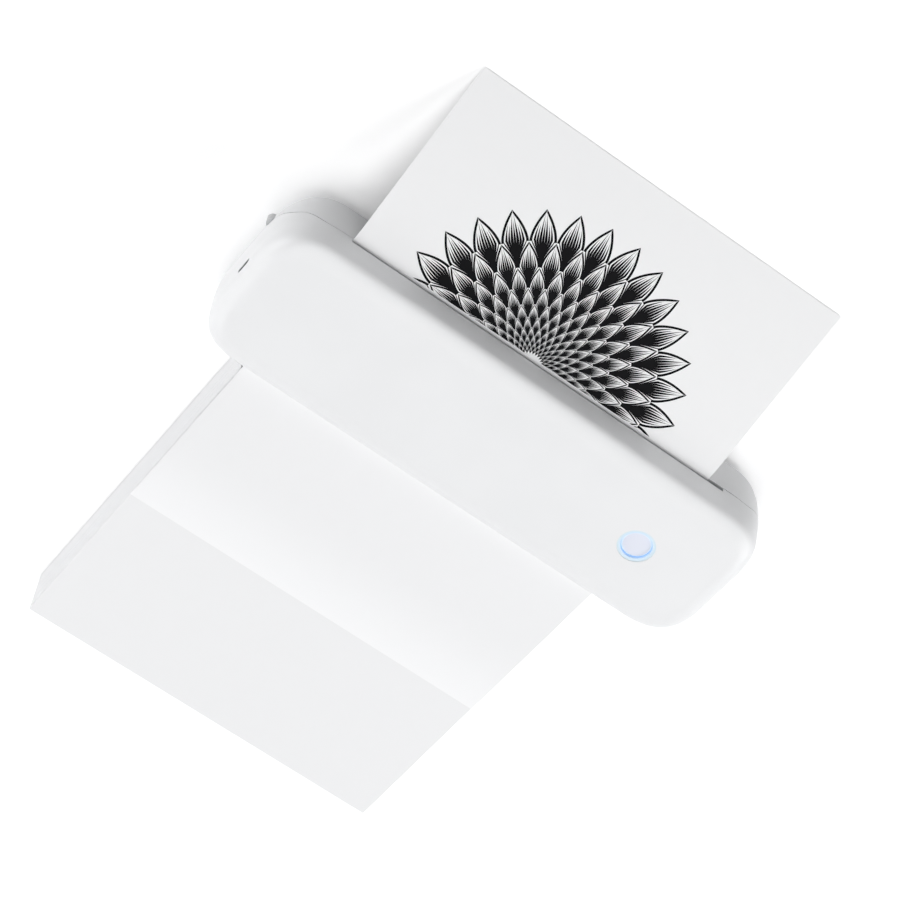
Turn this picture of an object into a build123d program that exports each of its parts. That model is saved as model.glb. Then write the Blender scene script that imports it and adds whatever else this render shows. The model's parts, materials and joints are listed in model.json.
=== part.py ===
from build123d import *
import math
import os

os.makedirs("parts", exist_ok=True)

# Frame: millimetres, +Z up, origin on the floor below the middle of the printer.
# The sheet leaves at -Y, the paper stack lies at +Y, the charging port is at +X.

# --- case ---
case_length = 286.0
case_width = 88.0
case_top = 45.0
case_bottom = 1.0
wall = 2.2
corner_x = 28.0
corner_y = 31.0
corner_fullness = 0.71
top_radius_end = 9.5
top_radius_rear = 14.5
# The front of the top: a shallow crown, a tight edge and a face that leans back a little.
# Angles are measured from level, so the lean ends upright.
front_crown_radius = 22.0
front_crown_angle = 20.0
front_edge_radius = 3.6
front_lean_angle = 78.0
front_lean_radius = 72.0
bottom_radius_end = 16.0
bottom_radius_side = 7.0

half_length = case_length / 2
half_width = case_width / 2
inner_top_z = case_top - wall
floor_z = case_bottom + wall

# --- parting line between base and cover ---
seam_end_z = 15.4
seam_front_z = 27.6
seam_rear_z = 31.0
seam_gap = 0.3
seam_rear_gap = 0.8
# Distance behind the front face, and height, along the rise round the front corner.
corner_rise = [(-16.0, 22.9), (6.0, 22.9), (9.9, 21.6), (12.9, 19.9), (17.0, 17.9),
               (22.0, 17.1), (34.0, 16.6), (46.0, 15.6), (54.0, 15.4)]
# Distance in from the end, and height, along the rise towards the front slot.
front_rise = [(7.5, 22.9), (11.5, 24.2), (14.9, 25.8), (18.0, 27.0), (22.0, 27.6)]
front_rise_depth = 16.0
rear_rise_start = 17.5
rear_rise_end = 5.5

# --- paper ---
paper_side_room = 38.0
paper_width = case_length - 2 * paper_side_room
paper_center_x = 5.2
paper_thickness = 0.15
path_front_z = 28.5
path_rear_z = 30.2
sheet_reach = 97.6
sheet_corner_radius = 1.3
sheet_break_out = 0.6
sheet_break_gap = 0.04
sheet_bend_length = 9.0
sheet_bend_drop = 1.3
sheet_tip_gap = 0.03
sheet_trim = 0.05
stack_gap = 6.0
stack_length = 195.0
stack_height = 28.8
stack_corner_radius = 0.8
lift_distance = 86.0
lift_length = 14.0
lift_z = 29.8
feed_level_length = 4.0

paper_left_x = paper_center_x - paper_width / 2
paper_right_x = paper_center_x + paper_width / 2
sheet_end_y = -half_width - sheet_reach
sheet_break_y = -half_width - sheet_break_out
stack_near_y = half_width + stack_gap
stack_far_y = stack_near_y + stack_length
lift_end_y = stack_near_y + lift_distance
lift_start_y = lift_end_y + lift_length

# --- paper slots ---
slot_left_margin = 9.3
slot_right_margin = 0.3
slot_front_headroom = 1.7
slot_rear_footroom = 1.0
slot_depth_over = 3.0
slot_left_x = paper_left_x - slot_left_margin
slot_right_x = paper_right_x + slot_right_margin
front_slot_top_z = path_front_z + slot_front_headroom
rear_slot_bottom_z = path_rear_z - slot_rear_footroom
rear_slot_top_z = seam_rear_z + seam_rear_gap

# --- cover hinge ---
hinge_inset = 0.4
hinge_rise = 0.5
knuckle_radius = 1.9
knuckle_clearance = 0.3
hinge_pin_radius = 0.9
hinge_running_clearance = 0.05
knuckle_slot_gap = 2.1
base_knuckle_length = 3.5
cover_knuckle_length = 3.5
knuckle_side_gap = 0.3
hinge_z = seam_rear_z + hinge_rise

# --- release buttons at both ends ---
release_from_front = 24.5
release_width = 5.6
release_bottom_z = 12.2
release_top_z = 16.6
release_protrusion = 1.4
release_nose_radius = 2.7
release_clearance = 0.3
carriage_end_gap = 7.0
carriage_length = 11.4
carriage_width = 9.0
carriage_top_z = 15.2
hook_thickness = 2.0
hook_width = 5.0
hook_top_z = 28.6
hook_gap = 0.2
hook_nose_height = 1.4
catch_depth = 3.4
catch_low_z = 25.2
catch_height = 1.4
rail_thickness = 1.6
shelf_behind = 2.0
shelf_end_gap = 0.6
shelf_thickness = 1.5

release_y = -half_width + release_from_front
release_reach_x = half_length + release_protrusion
carriage_front_x = half_length - carriage_end_gap
carriage_back_x = carriage_front_x - carriage_length
catch_inner_x = half_length - catch_depth
hook_nose_x = catch_inner_x - hook_gap
shelf_back_x = carriage_back_x - shelf_behind
shelf_front_x = carriage_front_x - shelf_end_gap

# --- print head ---
head_from_front = 24.0
head_inset_x = 2.8
heatsink_low_z = 30.9
heatsink_height = 5.0
heatsink_front = 8.5
heatsink_rear = 9.0
heatsink_groove = 2.0
heatsink_groove_offset = 5.6
ceramic_height = 1.2
ceramic_front = 5.0
ceramic_rear = 5.4
glaze_radius = 0.7
glaze_low_z = 29.36
driver_strip_height = 0.8
driver_strip_inset = 4.0
driver_strip_gap = 0.3
head_travel = 0.8
bracket_thickness = 1.2
bracket_front = 11.0
bracket_rear = 7.8
bracket_margin_x = 1.4
bracket_ear_low_z = 33.5
bracket_ear_inset = 3.0
guide_pin_radius = 1.5
guide_pin_low_z = 32.2
guide_pin_clearance = 0.06
guide_pin_inset = 9.2
head_spring_inset = 35.2
head_spring_radius = 2.8
head_spring_wire = 0.35
head_spring_turns = 4.0
head_spring_gap = 0.02
head_screw_inset = 22.2
head_screw_offset = 32.8

head_y = -half_width + head_from_front
head_left_x = paper_left_x + head_inset_x
head_right_x = paper_right_x - head_inset_x
heatsink_front_y = head_y - heatsink_front
heatsink_rear_y = head_y + heatsink_rear
ceramic_front_y = head_y - ceramic_front
ceramic_rear_y = head_y + ceramic_rear
bracket_front_y = head_y - bracket_front
bracket_rear_y = head_y + bracket_rear
guide_pin_places = [head_left_x + guide_pin_inset, head_right_x - guide_pin_inset]
head_spring_places = [head_left_x + head_spring_inset, paper_center_x,
                      head_right_x - head_spring_inset]
head_screw_places = [head_left_x + head_screw_inset, paper_center_x + head_screw_offset,
                     head_right_x - head_screw_inset]

# --- power button in the cover top ---
button_from_end = 51.1
button_cap_radius = 7.5
button_cap_drop = 1.6
button_cap_crown = 0.25
button_flange_radius = 8.3
button_flange_drop = 3.1
button_flange_thickness = 0.6
ring_outer_radius = 9.6
ring_inner_radius = 7.8
ring_pocket_radius = 8.7
ring_flange_radius = 11.2
ring_flange_drop = 3.6
ring_drop = 0.35
ring_bracket_gap = 1.0

button_x = -half_length + button_from_end
button_y = bracket_rear_y + ring_flange_radius + ring_bracket_gap
button_cap_top_z = case_top - button_cap_drop
button_flange_low_z = case_top - button_flange_drop
ring_flange_low_z = case_top - ring_flange_drop
ring_top_z = case_top - ring_drop

# --- main board in the cover ---
board_low_z = 36.0
board_thickness = 1.6
board_from_left_end = 40.0
board_from_right_end = 31.0
board_front_margin = 6.0
board_from_rear = 16.0
board_post_radius = 2.6
board_post_depth = 2.4
board_screw_radius = 1.0
board_screw_head_radius = 1.9
board_screw_head_height = 1.2
post_from_left = 23.0
post_from_right = 16.0
post_from_rear = 6.0
post_from_front = 6.5
front_post_from_left = 43.0
main_chip_shares = [(0.326, 0.56), (0.414, 0.53), (0.614, 0.62), (0.712, 0.31),
                    (0.790, 0.62), (0.846, 0.62), (0.976, 0.27)]
main_chip_sizes = [(14.0, 14.0, 1.4), (8.0, 8.0, 1.2), (10.0, 10.0, 1.6), (12.0, 5.0, 3.6),
                   (6.0, 6.0, 3.0), (6.0, 6.0, 3.0), (6.0, 10.0, 1.2)]
switch_side = 6.0
switch_height = 3.0
plunger_radius = 1.6
plunger_height = 0.5
light_count = 4
light_circle_radius = 8.2
light_size = 1.6
light_height = 0.8

board_top_z = board_low_z + board_thickness
board_left_x = -half_length + board_from_left_end
board_right_x = half_length - board_from_right_end
board_front_y = button_y - board_front_margin
board_rear_y = half_width - board_from_rear
board_length = board_right_x - board_left_x
board_width = board_rear_y - board_front_y
board_post_places = [
    (board_left_x + post_from_left, board_rear_y - post_from_rear),
    (board_left_x + board_length / 2, board_rear_y - post_from_rear),
    (board_right_x - post_from_right, board_rear_y - post_from_rear),
    (board_left_x + front_post_from_left, board_front_y + post_from_front),
    (board_right_x - post_from_right, board_front_y + post_from_front),
]

# --- charging port ---
port_y = -3.0
port_width = 8.94
port_height = 3.26
port_depth = 7.3
port_mouth_inset = 0.3
port_back_wall = 0.6
port_wall = 0.32
port_hole_clearance = 0.18
port_hole_depth = 6.0
port_tongue_width = 6.6
port_tongue_height = 0.7
port_tongue_length = 4.6
board_tongue_end_gap = 3.7
board_tongue_overlap = 4.0
board_tongue_front = 6.0
board_tongue_rear = 14.0

port_z = board_low_z - port_height / 2
port_mouth_x = half_length - port_mouth_inset
port_back_x = port_mouth_x - port_depth
board_tongue_end_x = half_length - board_tongue_end_gap
board_tongue_front_y = port_y - board_tongue_front
board_tongue_rear_y = port_y + board_tongue_rear

# --- upper paper guide in the cover ---
guide_low_z = 31.2
guide_thickness = 1.2
guide_left_margin = 4.2
guide_right_margin = 3.3
guide_behind_head = 13.0
guide_from_rear = 3.7
guide_cheek = 1.6
guide_cheek_from_rear = 20.0
guide_cheek_gap = 3.0
guide_left_x = paper_left_x - guide_left_margin
guide_right_x = paper_right_x + guide_right_margin
guide_front_y = head_y + guide_behind_head
guide_rear_y = half_width - guide_from_rear
guide_cheek_rear_y = half_width - guide_cheek_from_rear
guide_cheek_right_front_y = board_tongue_rear_y + guide_cheek_gap

# --- chassis in the base ---
deck_top_z = 28.2
deck_thickness = 1.5
deck_left_margin = 7.7
deck_right_margin = 4.8
deck_from_front = 2.7
deck_from_rear = 3.0
platen_gap_half = 8.5
cheek_thickness = 2.0
cheek_front = 10.0
cheek_behind_motor = 1.5
boss_radius = 4.0
boss_inset_left = 9.5
boss_inset_right = 11.0
boss_inset_y = 11.0
screw_head_radius = 2.3
screw_head_height = 2.0
screw_slot_length = 3.2
screw_slot_width = 0.7
screw_slot_depth = 0.8
screw_recess_radius = 2.6
screw_recess_top_z = 11.0
screw_radius = 1.25
screw_tip_gap = 0.2
sensor_behind_head = 28.0
sensor_width = 6.0
sensor_depth = 4.0
sensor_board_length = 18.0
sensor_board_width = 12.0
sensor_board_thickness = 1.6
sensor_body_low = 1.0
sensor_below_deck = 0.4

deck_low_z = deck_top_z - deck_thickness
deck_left_x = paper_left_x - deck_left_margin
deck_right_x = paper_right_x + deck_right_margin
deck_front_y = -half_width + deck_from_front
deck_rear_y = half_width - deck_from_rear
cheek_left_out = deck_left_x - cheek_thickness
cheek_right_out = deck_right_x + cheek_thickness
cheek_front_y = head_y - cheek_front
boss_left_x = deck_left_x + boss_inset_left
boss_right_x = deck_right_x - boss_inset_right
boss_y = half_width - boss_inset_y
boss_places = [(boss_left_x, boss_y), (boss_right_x, boss_y),
               (boss_left_x, -boss_y), (boss_right_x, -boss_y)]
sensor_x = paper_center_x
sensor_y = head_y + sensor_behind_head

# --- platen roller and gears ---
platen_z = 22.6
platen_rubber_radius = 6.0
platen_shaft_radius = 3.0
platen_shaft_chamfer = 0.4
platen_rubber_margin = 3.2
platen_shaft_left_over = 2.0
platen_shaft_right_over = 3.0
bearing_radius = 5.0
bearing_flange_radius = 6.5
bearing_flange = 1.0
bearing_length = 3.6
bearing_running_clearance = 0.03
gear_module = 0.6
gear_width = 4.0
gear_outside_deck = 8.5
gear_hub_radius = 5.0
gear_hub_length = 1.2
platen_teeth = 28
idler_teeth = 30
pinion_teeth = 12
pinion_overhang = 0.5
idler_offset_y = 16.0
tooth_share = 0.40
gear_bore_clearance = 0.05
idler_axle_radius = 1.5
axle_collar = 1.2
axle_collar_gap = 0.4
axle_collar_length = 0.8
motor_z = 14.0
motor_radius = 10.0
motor_length = 15.0
motor_flange = 1.0
motor_edge_radius = 1.0
motor_ear_half_width = 5.0
motor_ear_step = 0.4
motor_bore_depth = 7.0
motor_shaft_radius = 1.0
motor_shaft_clearance = 0.05
motor_shaft_end_gap = 0.2
motor_hole_margin = 2.5

gear_left_x = deck_left_x - gear_outside_deck
gear_right_x = gear_left_x + gear_width
platen_shaft_left_x = gear_left_x - platen_shaft_left_over
platen_shaft_right_x = cheek_right_out + platen_shaft_right_over
idler_distance = gear_module * (platen_teeth + idler_teeth) / 2
pinion_distance = gear_module * (idler_teeth + pinion_teeth) / 2
idler_y = head_y + idler_offset_y
idler_z = platen_z - math.sqrt(idler_distance ** 2 - idler_offset_y ** 2)
motor_y = idler_y + math.sqrt(pinion_distance ** 2 - (idler_z - motor_z) ** 2)
cheek_rear_y = motor_y + motor_radius + cheek_behind_motor

# --- battery ---
cell_radius = 9.2
cell_length = 65.2
cell_from_rear = 18.0
cell_gap = 1.4
cell_edge_radius = 0.8
cell_tip_radius = 3.0
cell_tip_height = 1.0
tray_floor = 1.0
tray_wall = 1.2
tray_margin = 2.6
tray_side_gap = 0.6
tray_height = 9.0
tray_motor_gap = 2.0
contact_half_width = 4.0
contact_rise = 3.0

cell_y = half_width - cell_from_rear
tray_x0 = deck_left_x + motor_flange + motor_length + tray_motor_gap
cell_start_x = tray_x0 + tray_margin
cells_end_x = cell_start_x + 2 * cell_length + cell_gap
tray_x1 = cells_end_x + tray_margin

# --- control board in the base ---
control_side_gap = 4.0
control_from_rear = 10.0
control_width = 26.0
control_low_z = 7.0
control_thickness = 1.6
control_post_radius = 2.0
control_post_inset = 3.0
control_chip_shares = [(0.28, 0.38), (0.78, 0.36), (0.50, 0.83)]
control_chip_sizes = [(8.0, 8.0, 1.4), (6.0, 6.0, 4.0), (12.0, 5.0, 6.0)]
control_left_x = tray_x1 + control_side_gap
control_right_x = boss_right_x - boss_radius - control_side_gap
control_rear_y = half_width - control_from_rear
control_front_y = control_rear_y - control_width

# --- rubber underside ---
pad_length = 110.0
pad_width = 18.0
foot_radius = 5.0
foot_inset_x = 31.0
foot_inset_y = 22.0
foot_x = half_length - foot_inset_x
foot_y = half_width - foot_inset_y
foot_places = [(-foot_x, -foot_y), (foot_x, -foot_y), (-foot_x, foot_y), (foot_x, foot_y)]

# How far cuts run past the faces they cut, and how deep joined shapes bite.
cut_over = 1.0
bite = 0.5


def save(shape, name):
    shape.label = name
    export_step(shape, "parts/" + name + ".step")


def box(x0, x1, y0, y1, z0, z1):
    solid = Box(x1 - x0, y1 - y0, z1 - z0)
    return Pos((x0 + x1) / 2, (y0 + y1) / 2, (z0 + z1) / 2) * solid


def rod_x(x0, x1, y, z, radius):
    solid = Rot(0, 90, 0) * Cylinder(radius, x1 - x0)
    return Pos((x0 + x1) / 2, y, z) * solid


def rod_z(x, y, z0, z1, radius):
    return Pos(x, y, (z0 + z1) / 2) * Cylinder(radius, z1 - z0)


def edge_inset(z, low, high, low_radius, high_radius):
    # How far a rounded wall stands back from its full width at height z.
    if z < low + low_radius:
        down = low + low_radius - z
        return low_radius - math.sqrt(max(0.0, low_radius ** 2 - down ** 2))
    if z > high - high_radius:
        up = z - (high - high_radius)
        return high_radius - math.sqrt(max(0.0, high_radius ** 2 - up ** 2))
    return 0.0


def front_arcs():
    # Centre (distance behind the front face, height), radius and last angle, from the top down.
    crown = math.radians(front_crown_angle)
    lean = math.radians(front_lean_angle)
    lean_start = front_lean_radius * (1 - math.sin(lean))
    edge_x = lean_start + front_edge_radius * math.sin(lean)
    crown_x = edge_x + (front_crown_radius - front_edge_radius) * math.sin(crown)
    crown_z = case_top - front_crown_radius
    edge_z = crown_z + (front_crown_radius - front_edge_radius) * math.cos(crown)
    lean_z = edge_z + (front_edge_radius - front_lean_radius) * math.cos(lean)
    return [
        (crown_x, crown_z, front_crown_radius, crown),
        (edge_x, edge_z, front_edge_radius, lean),
        (front_lean_radius, lean_z, front_lean_radius, math.pi / 2),
    ]


def front_inset(z, depth):
    # How far the front stands back from its full width at height z.
    for centre, centre_z, radius, last_angle in front_arcs():
        reach = radius - depth
        if z >= centre_z + reach * math.cos(last_angle):
            angle = math.acos(min(1.0, (z - centre_z) / reach))
            return centre - reach * math.sin(angle) - depth
    return edge_inset(z, case_bottom + depth, case_top, bottom_radius_side - depth, 0.0)


def corner_curve(start, end, sharp, z):
    # A full, soft quarter corner from start to end, drawn towards the sharp corner.
    near_start = [start[i] + corner_fullness * (sharp[i] - start[i]) for i in (0, 1)]
    near_end = [end[i] + corner_fullness * (sharp[i] - end[i]) for i in (0, 1)]
    points = [start, near_start, near_end, end]
    return Bezier(*[(point[0], point[1], z) for point in points])


def rear_edge_y(x):
    # Where the rear edge of the plan outline lies at x, going round the soft corner.
    along = (x - (half_length - corner_x)) / corner_x
    if along <= 0.0:
        return half_width
    low = 0.0
    high = 1.0
    for i in range(40):
        t = (low + high) / 2
        if 3 * (1 - t) ** 2 * t * corner_fullness + 3 * (1 - t) * t ** 2 + t ** 3 < along:
            low = t
        else:
            high = t
    return half_width - corner_y * (3 * (1 - t) * t ** 2 * (1 - corner_fullness) + t ** 3)


def case_section(z, depth):
    low = case_bottom + depth
    high = case_top - depth
    end_in = edge_inset(z, low, high, bottom_radius_end - depth, top_radius_end - depth)
    front_in = front_inset(z, depth)
    rear_in = edge_inset(z, low, high, bottom_radius_side - depth, top_radius_rear - depth)
    x_end = half_length - depth - end_in
    y_front = -half_width + depth + front_in
    y_rear = half_width - depth - rear_in
    x_bend = half_length - corner_x
    y_bend = half_width - corner_y
    edges = [
        Line((-x_bend, y_front, z), (x_bend, y_front, z)),
        corner_curve((x_bend, y_front), (x_end, -y_bend), (x_end, y_front), z),
        Line((x_end, -y_bend, z), (x_end, y_bend, z)),
        corner_curve((x_end, y_bend), (x_bend, y_rear), (x_end, y_rear), z),
        Line((x_bend, y_rear, z), (-x_bend, y_rear, z)),
        corner_curve((-x_bend, y_rear), (-x_end, y_bend), (-x_end, y_rear), z),
        Line((-x_end, y_bend, z), (-x_end, -y_bend, z)),
        corner_curve((-x_end, -y_bend), (-x_bend, y_front), (-x_end, y_front), z),
    ]
    return Face(Wire(edges))


def case_solid(depth):
    # The case grown or shrunk evenly: depth is the distance inside the outer skin.
    low = case_bottom + depth
    high = case_top - depth
    heights = set()
    for angle in (0, 12, 25, 40, 55, 72, 90):
        rise = (bottom_radius_side - depth) * (1 - math.cos(math.radians(angle)))
        heights.add(round(low + rise, 4))
    for angle in (58, 70, 90):
        rise = (bottom_radius_end - depth) * (1 - math.cos(math.radians(angle)))
        heights.add(round(low + rise, 4))
    for angle in (48, 60, 72, 90):
        drop = (top_radius_rear - depth) * (1 - math.cos(math.radians(angle)))
        heights.add(round(high - drop, 4))
    for share in (0.0, 0.25, 0.5, 0.75, 1.0):
        angle = math.radians(front_crown_angle * share)
        drop = (front_crown_radius - depth) * (1 - math.cos(angle))
        heights.add(round(high - drop, 4))
    edge_z = front_arcs()[1][1]
    for angle in (45, front_lean_angle):
        rise = (front_edge_radius - depth) * math.cos(math.radians(angle))
        heights.add(round(edge_z + rise, 4))
    return loft([case_section(z, depth) for z in sorted(heights)])


def ease_points(a0, b0, a1, b1, count=7):
    # Points of a soft S from (a0, b0) to (a1, b1), level at both ends.
    points = []
    for i in range(count):
        t = i / (count - 1)
        rise = t * t * (3 - 2 * t)
        points.append((a0 + (a1 - a0) * t, b0 + (b1 - b0) * rise))
    return points


def below_seam(lift, rear_lift):
    # Everything below the parting line, raised by the given gaps.
    reach = case_length
    lower = box(-reach, reach, -reach, reach, -case_top, seam_end_z + lift)

    rise = ease_points(half_width - rear_rise_start - lift, seam_end_z + lift,
                       half_width - rear_rise_end - lift, seam_rear_z + rear_lift)
    curve = Spline(*rise, tangents=[(1, 0), (1, 0)])
    outline = [
        curve,
        Line(rise[-1], (reach, rise[-1][1])),
        Line((reach, rise[-1][1]), (reach, 0.0)),
        Line((reach, 0.0), (rise[0][0], 0.0)),
        Line((rise[0][0], 0.0), rise[0]),
    ]
    face = Plane.YZ * Face(Wire(outline))
    rear = Pos(-reach, 0, 0) * extrude(face, 2 * reach, dir=(1, 0, 0))

    rise = [(-half_width + depth + lift, z + lift) for depth, z in corner_rise]
    outline = [
        Spline(*rise, tangents=[(1, 0), (1, 0)]),
        Line(rise[-1], (rise[-1][0], 0.0)),
        Line((rise[-1][0], 0.0), (rise[0][0], 0.0)),
        Line((rise[0][0], 0.0), rise[0]),
    ]
    face = Plane.YZ * Face(Wire(outline))
    corner = Pos(-reach, 0, 0) * extrude(face, 2 * reach, dir=(1, 0, 0))

    rise = [(half_length - inset + lift, z + lift) for inset, z in front_rise]
    mirrored = [(-x, z) for x, z in reversed(rise)]
    outline = [
        Spline(*rise),
        Line(rise[-1], mirrored[0]),
        Spline(*mirrored),
        Line(mirrored[-1], (mirrored[-1][0], 0.0)),
        Line((mirrored[-1][0], 0.0), (rise[0][0], 0.0)),
        Line((rise[0][0], 0.0), rise[0]),
    ]
    face = Plane.XZ * Face(Wire(outline))
    start_y = -half_width + front_rise_depth
    front = Pos(0, start_y, 0) * extrude(face, reach, dir=(0, -1, 0))
    return lower + rear + corner + front


def gear(teeth, x0, x1, y, z, phase_degrees, bore_radius, hub_radius=0.0, hub_x1=None):
    pitch_radius = gear_module * teeth / 2
    tip_radius = pitch_radius + 0.9 * gear_module
    root_radius = pitch_radius - 1.2 * gear_module
    step = 2 * math.pi / teeth
    half_root = step * (tooth_share + 0.18) / 2
    half_tip = step * (tooth_share - 0.20) / 2
    points = []
    for i in range(teeth):
        middle = math.radians(phase_degrees) + i * step
        for radius, turn in ((root_radius, -half_root), (tip_radius, -half_tip),
                             (tip_radius, half_tip), (root_radius, half_root)):
            angle = middle + turn
            points.append((y + radius * math.cos(angle), z + radius * math.sin(angle)))
    face = Plane.YZ * Face(Wire.make_polygon([(a, b, 0) for a, b in points], close=True))
    solid = Pos(x0, 0, 0) * extrude(face, x1 - x0, dir=(1, 0, 0))
    if hub_radius > 0.0:
        solid = solid + rod_x(x1 - bite, hub_x1, y, z, hub_radius)
    far = hub_x1 if hub_x1 is not None else x1
    return solid - rod_x(x0 - cut_over, far + cut_over, y, z, bore_radius)


def mate_phase(phase, teeth, direction, mate_teeth):
    # The tooth angle that puts a gap of the mating gear on a tooth of this one.
    pitch = 360.0 / teeth
    offset = (phase - direction + pitch / 2) % pitch - pitch / 2
    gap_angle = direction + 180.0 - offset * teeth / mate_teeth
    return gap_angle + 180.0 / mate_teeth


def ribbon(points, x0, x1, thickness):
    # A thin sheet whose middle runs through the given (y, z) points.
    upper = []
    lower = []
    for i, (y, z) in enumerate(points):
        before = points[max(i - 1, 0)]
        after = points[min(i + 1, len(points) - 1)]
        length = math.hypot(after[0] - before[0], after[1] - before[1])
        normal = (-(after[1] - before[1]) / length, (after[0] - before[0]) / length)
        upper.append((y + normal[0] * thickness / 2, z + normal[1] * thickness / 2))
        lower.append((y - normal[0] * thickness / 2, z - normal[1] * thickness / 2))
    loop = [(y, z, 0) for y, z in upper + list(reversed(lower))]
    face = Plane.YZ * Face(Wire.make_polygon(loop, close=True))
    return Pos(x0, 0, 0) * extrude(face, x1 - x0, dir=(1, 0, 0))


def path_z(y):
    share = (y + half_width) / case_width
    return path_front_z + share * (path_rear_z - path_front_z)


# --- case halves ---
outer = case_solid(0.0)
inner = case_solid(wall)
shell = outer - inner

seam_for_base = below_seam(0.0, 0.0)
seam_for_cover = below_seam(seam_gap, seam_rear_gap)

base = shell & seam_for_base
cover = shell - seam_for_cover

front_slot = box(slot_left_x, slot_right_x, -half_width - cut_over,
                 -half_width + wall + slot_depth_over, seam_front_z, front_slot_top_z)
rear_slot = box(slot_left_x, slot_right_x, half_width - wall - slot_depth_over,
                half_width + cut_over, rear_slot_bottom_z, rear_slot_top_z)
base = base - rear_slot
cover = cover - front_slot - rear_slot

# Screw bosses under the chassis, with the heads sunk from below.
for x, y in boss_places:
    base = base + rod_z(x, y, floor_z - bite, deck_low_z, boss_radius)
for x, y in boss_places:
    base = base - rod_z(x, y, case_bottom - cut_over, screw_recess_top_z, screw_recess_radius)
    base = base - rod_z(x, y, case_bottom - cut_over, deck_top_z, screw_radius)

# Posts for the control board.
control_posts = []
for x in (control_left_x + control_post_inset, control_right_x - control_post_inset):
    for y in (control_front_y + control_post_inset, control_rear_y - control_post_inset):
        control_posts.append((x, y))
for x, y in control_posts:
    base = base + rod_z(x, y, floor_z - bite, control_low_z, control_post_radius)

# Guide shelves for the two release buttons.
rail_inner = carriage_width / 2 + release_clearance
rail_outer = rail_inner + rail_thickness
shelf_top_z = release_bottom_z - release_clearance
shelf = box(shelf_back_x, shelf_front_x, release_y - rail_outer, release_y + rail_outer,
            shelf_top_z - shelf_thickness, shelf_top_z)
for side in (-1, 1):
    near = release_y + side * rail_inner
    far = release_y + side * rail_outer
    shelf = shelf + box(shelf_back_x, shelf_front_x, min(near, far), max(near, far),
                        case_bottom + bite, carriage_top_z)
shelf = shelf & case_solid(wall / 2)
notch = box(shelf_front_x, half_length + cut_over,
            release_y - release_width / 2 - release_clearance,
            release_y + release_width / 2 + release_clearance, shelf_top_z, carriage_top_z + wall)
base = base + shelf + mirror(shelf, about=Plane.YZ)
base = base - notch - mirror(notch, about=Plane.YZ)

# Catches that the release hooks hold.
catch = box(catch_inner_x, half_length, release_y - carriage_width / 2,
            release_y + carriage_width / 2, catch_low_z, catch_low_z + catch_height)
catch = catch & case_solid(wall / 2)
cover = cover + catch + mirror(catch, about=Plane.YZ)

# Hinge knuckles: the inner one of each pair is on the base, the outer on the cover.
knuckle_a = slot_right_x + knuckle_slot_gap
knuckle_b = knuckle_a + base_knuckle_length
knuckle_c = knuckle_b + knuckle_side_gap
knuckle_d = knuckle_c + cover_knuckle_length
hinge_y = round(rear_edge_y(knuckle_d) - hinge_inset, 1)
clear_radius = knuckle_radius + knuckle_clearance
half_gap = knuckle_side_gap / 2
clear_base_knuckle = rod_x(knuckle_a - half_gap, knuckle_b + half_gap, hinge_y, hinge_z, clear_radius)
clear_cover_knuckle = rod_x(knuckle_b + half_gap, knuckle_d + half_gap, hinge_y, hinge_z, clear_radius)
base_knuckle = rod_x(knuckle_a, knuckle_b, hinge_y, hinge_z, knuckle_radius)
cover_knuckle = rod_x(knuckle_c, knuckle_d, hinge_y, hinge_z, knuckle_radius)
pin_hole = rod_x(knuckle_a - cut_over, knuckle_d + cut_over, hinge_y, hinge_z, hinge_pin_radius)
running_hole = rod_x(knuckle_a - cut_over, knuckle_d + cut_over, hinge_y, hinge_z,
                     hinge_pin_radius + hinge_running_clearance)
for flip in (False, True):
    def placed(shape):
        return mirror(shape, about=Plane.YZ) if flip else shape
    base = base - placed(clear_cover_knuckle) + placed(base_knuckle) - placed(pin_hole)
    cover = cover - placed(clear_base_knuckle) + placed(cover_knuckle) - placed(running_hole)

# Openings of the cover: the button's ring in the top, the charging port in the end.
cover = cover - rod_z(button_x, button_y, inner_top_z - cut_over, case_top + cut_over,
                      ring_outer_radius)


def port_slot(x0, x1, grow):
    width = port_width + 2 * grow
    height = port_height + 2 * grow
    face = Plane.YZ * RectangleRounded(width, height, height / 2 - 0.01)
    return Pos(x0, port_y, port_z) * extrude(face, x1 - x0, dir=(1, 0, 0))


cover = cover - port_slot(half_length - port_hole_depth, half_length + cut_over,
                          port_hole_clearance)

save(base, "base_shell")
save(cover, "cover_shell")

# --- hinge pins ---
pin = rod_x(knuckle_a, knuckle_d, hinge_y, hinge_z, hinge_pin_radius)
save(pin, "hinge_pin_right")
save(mirror(pin, about=Plane.YZ), "hinge_pin_left")

# --- release buttons ---
tab = box(carriage_front_x - bite, release_reach_x, release_y - release_width / 2,
          release_y + release_width / 2, release_bottom_z, release_top_z)
nose_edges = tab.edges().filter_by(Axis.Z).group_by(Axis.X)[-1]
tab = fillet(nose_edges, release_nose_radius)
carriage = box(carriage_back_x, carriage_front_x, release_y - carriage_width / 2,
               release_y + carriage_width / 2, release_bottom_z, carriage_top_z)
hook = box(carriage_front_x - hook_thickness, carriage_front_x, release_y - hook_width / 2,
           release_y + hook_width / 2, carriage_top_z - bite, hook_top_z)
hook = hook + box(carriage_front_x - bite, hook_nose_x, release_y - hook_width / 2,
                  release_y + hook_width / 2, hook_top_z - hook_nose_height, hook_top_z)
release = tab + carriage + hook
save(release, "release_button_right")
save(mirror(release, about=Plane.YZ), "release_button_left")

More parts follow.
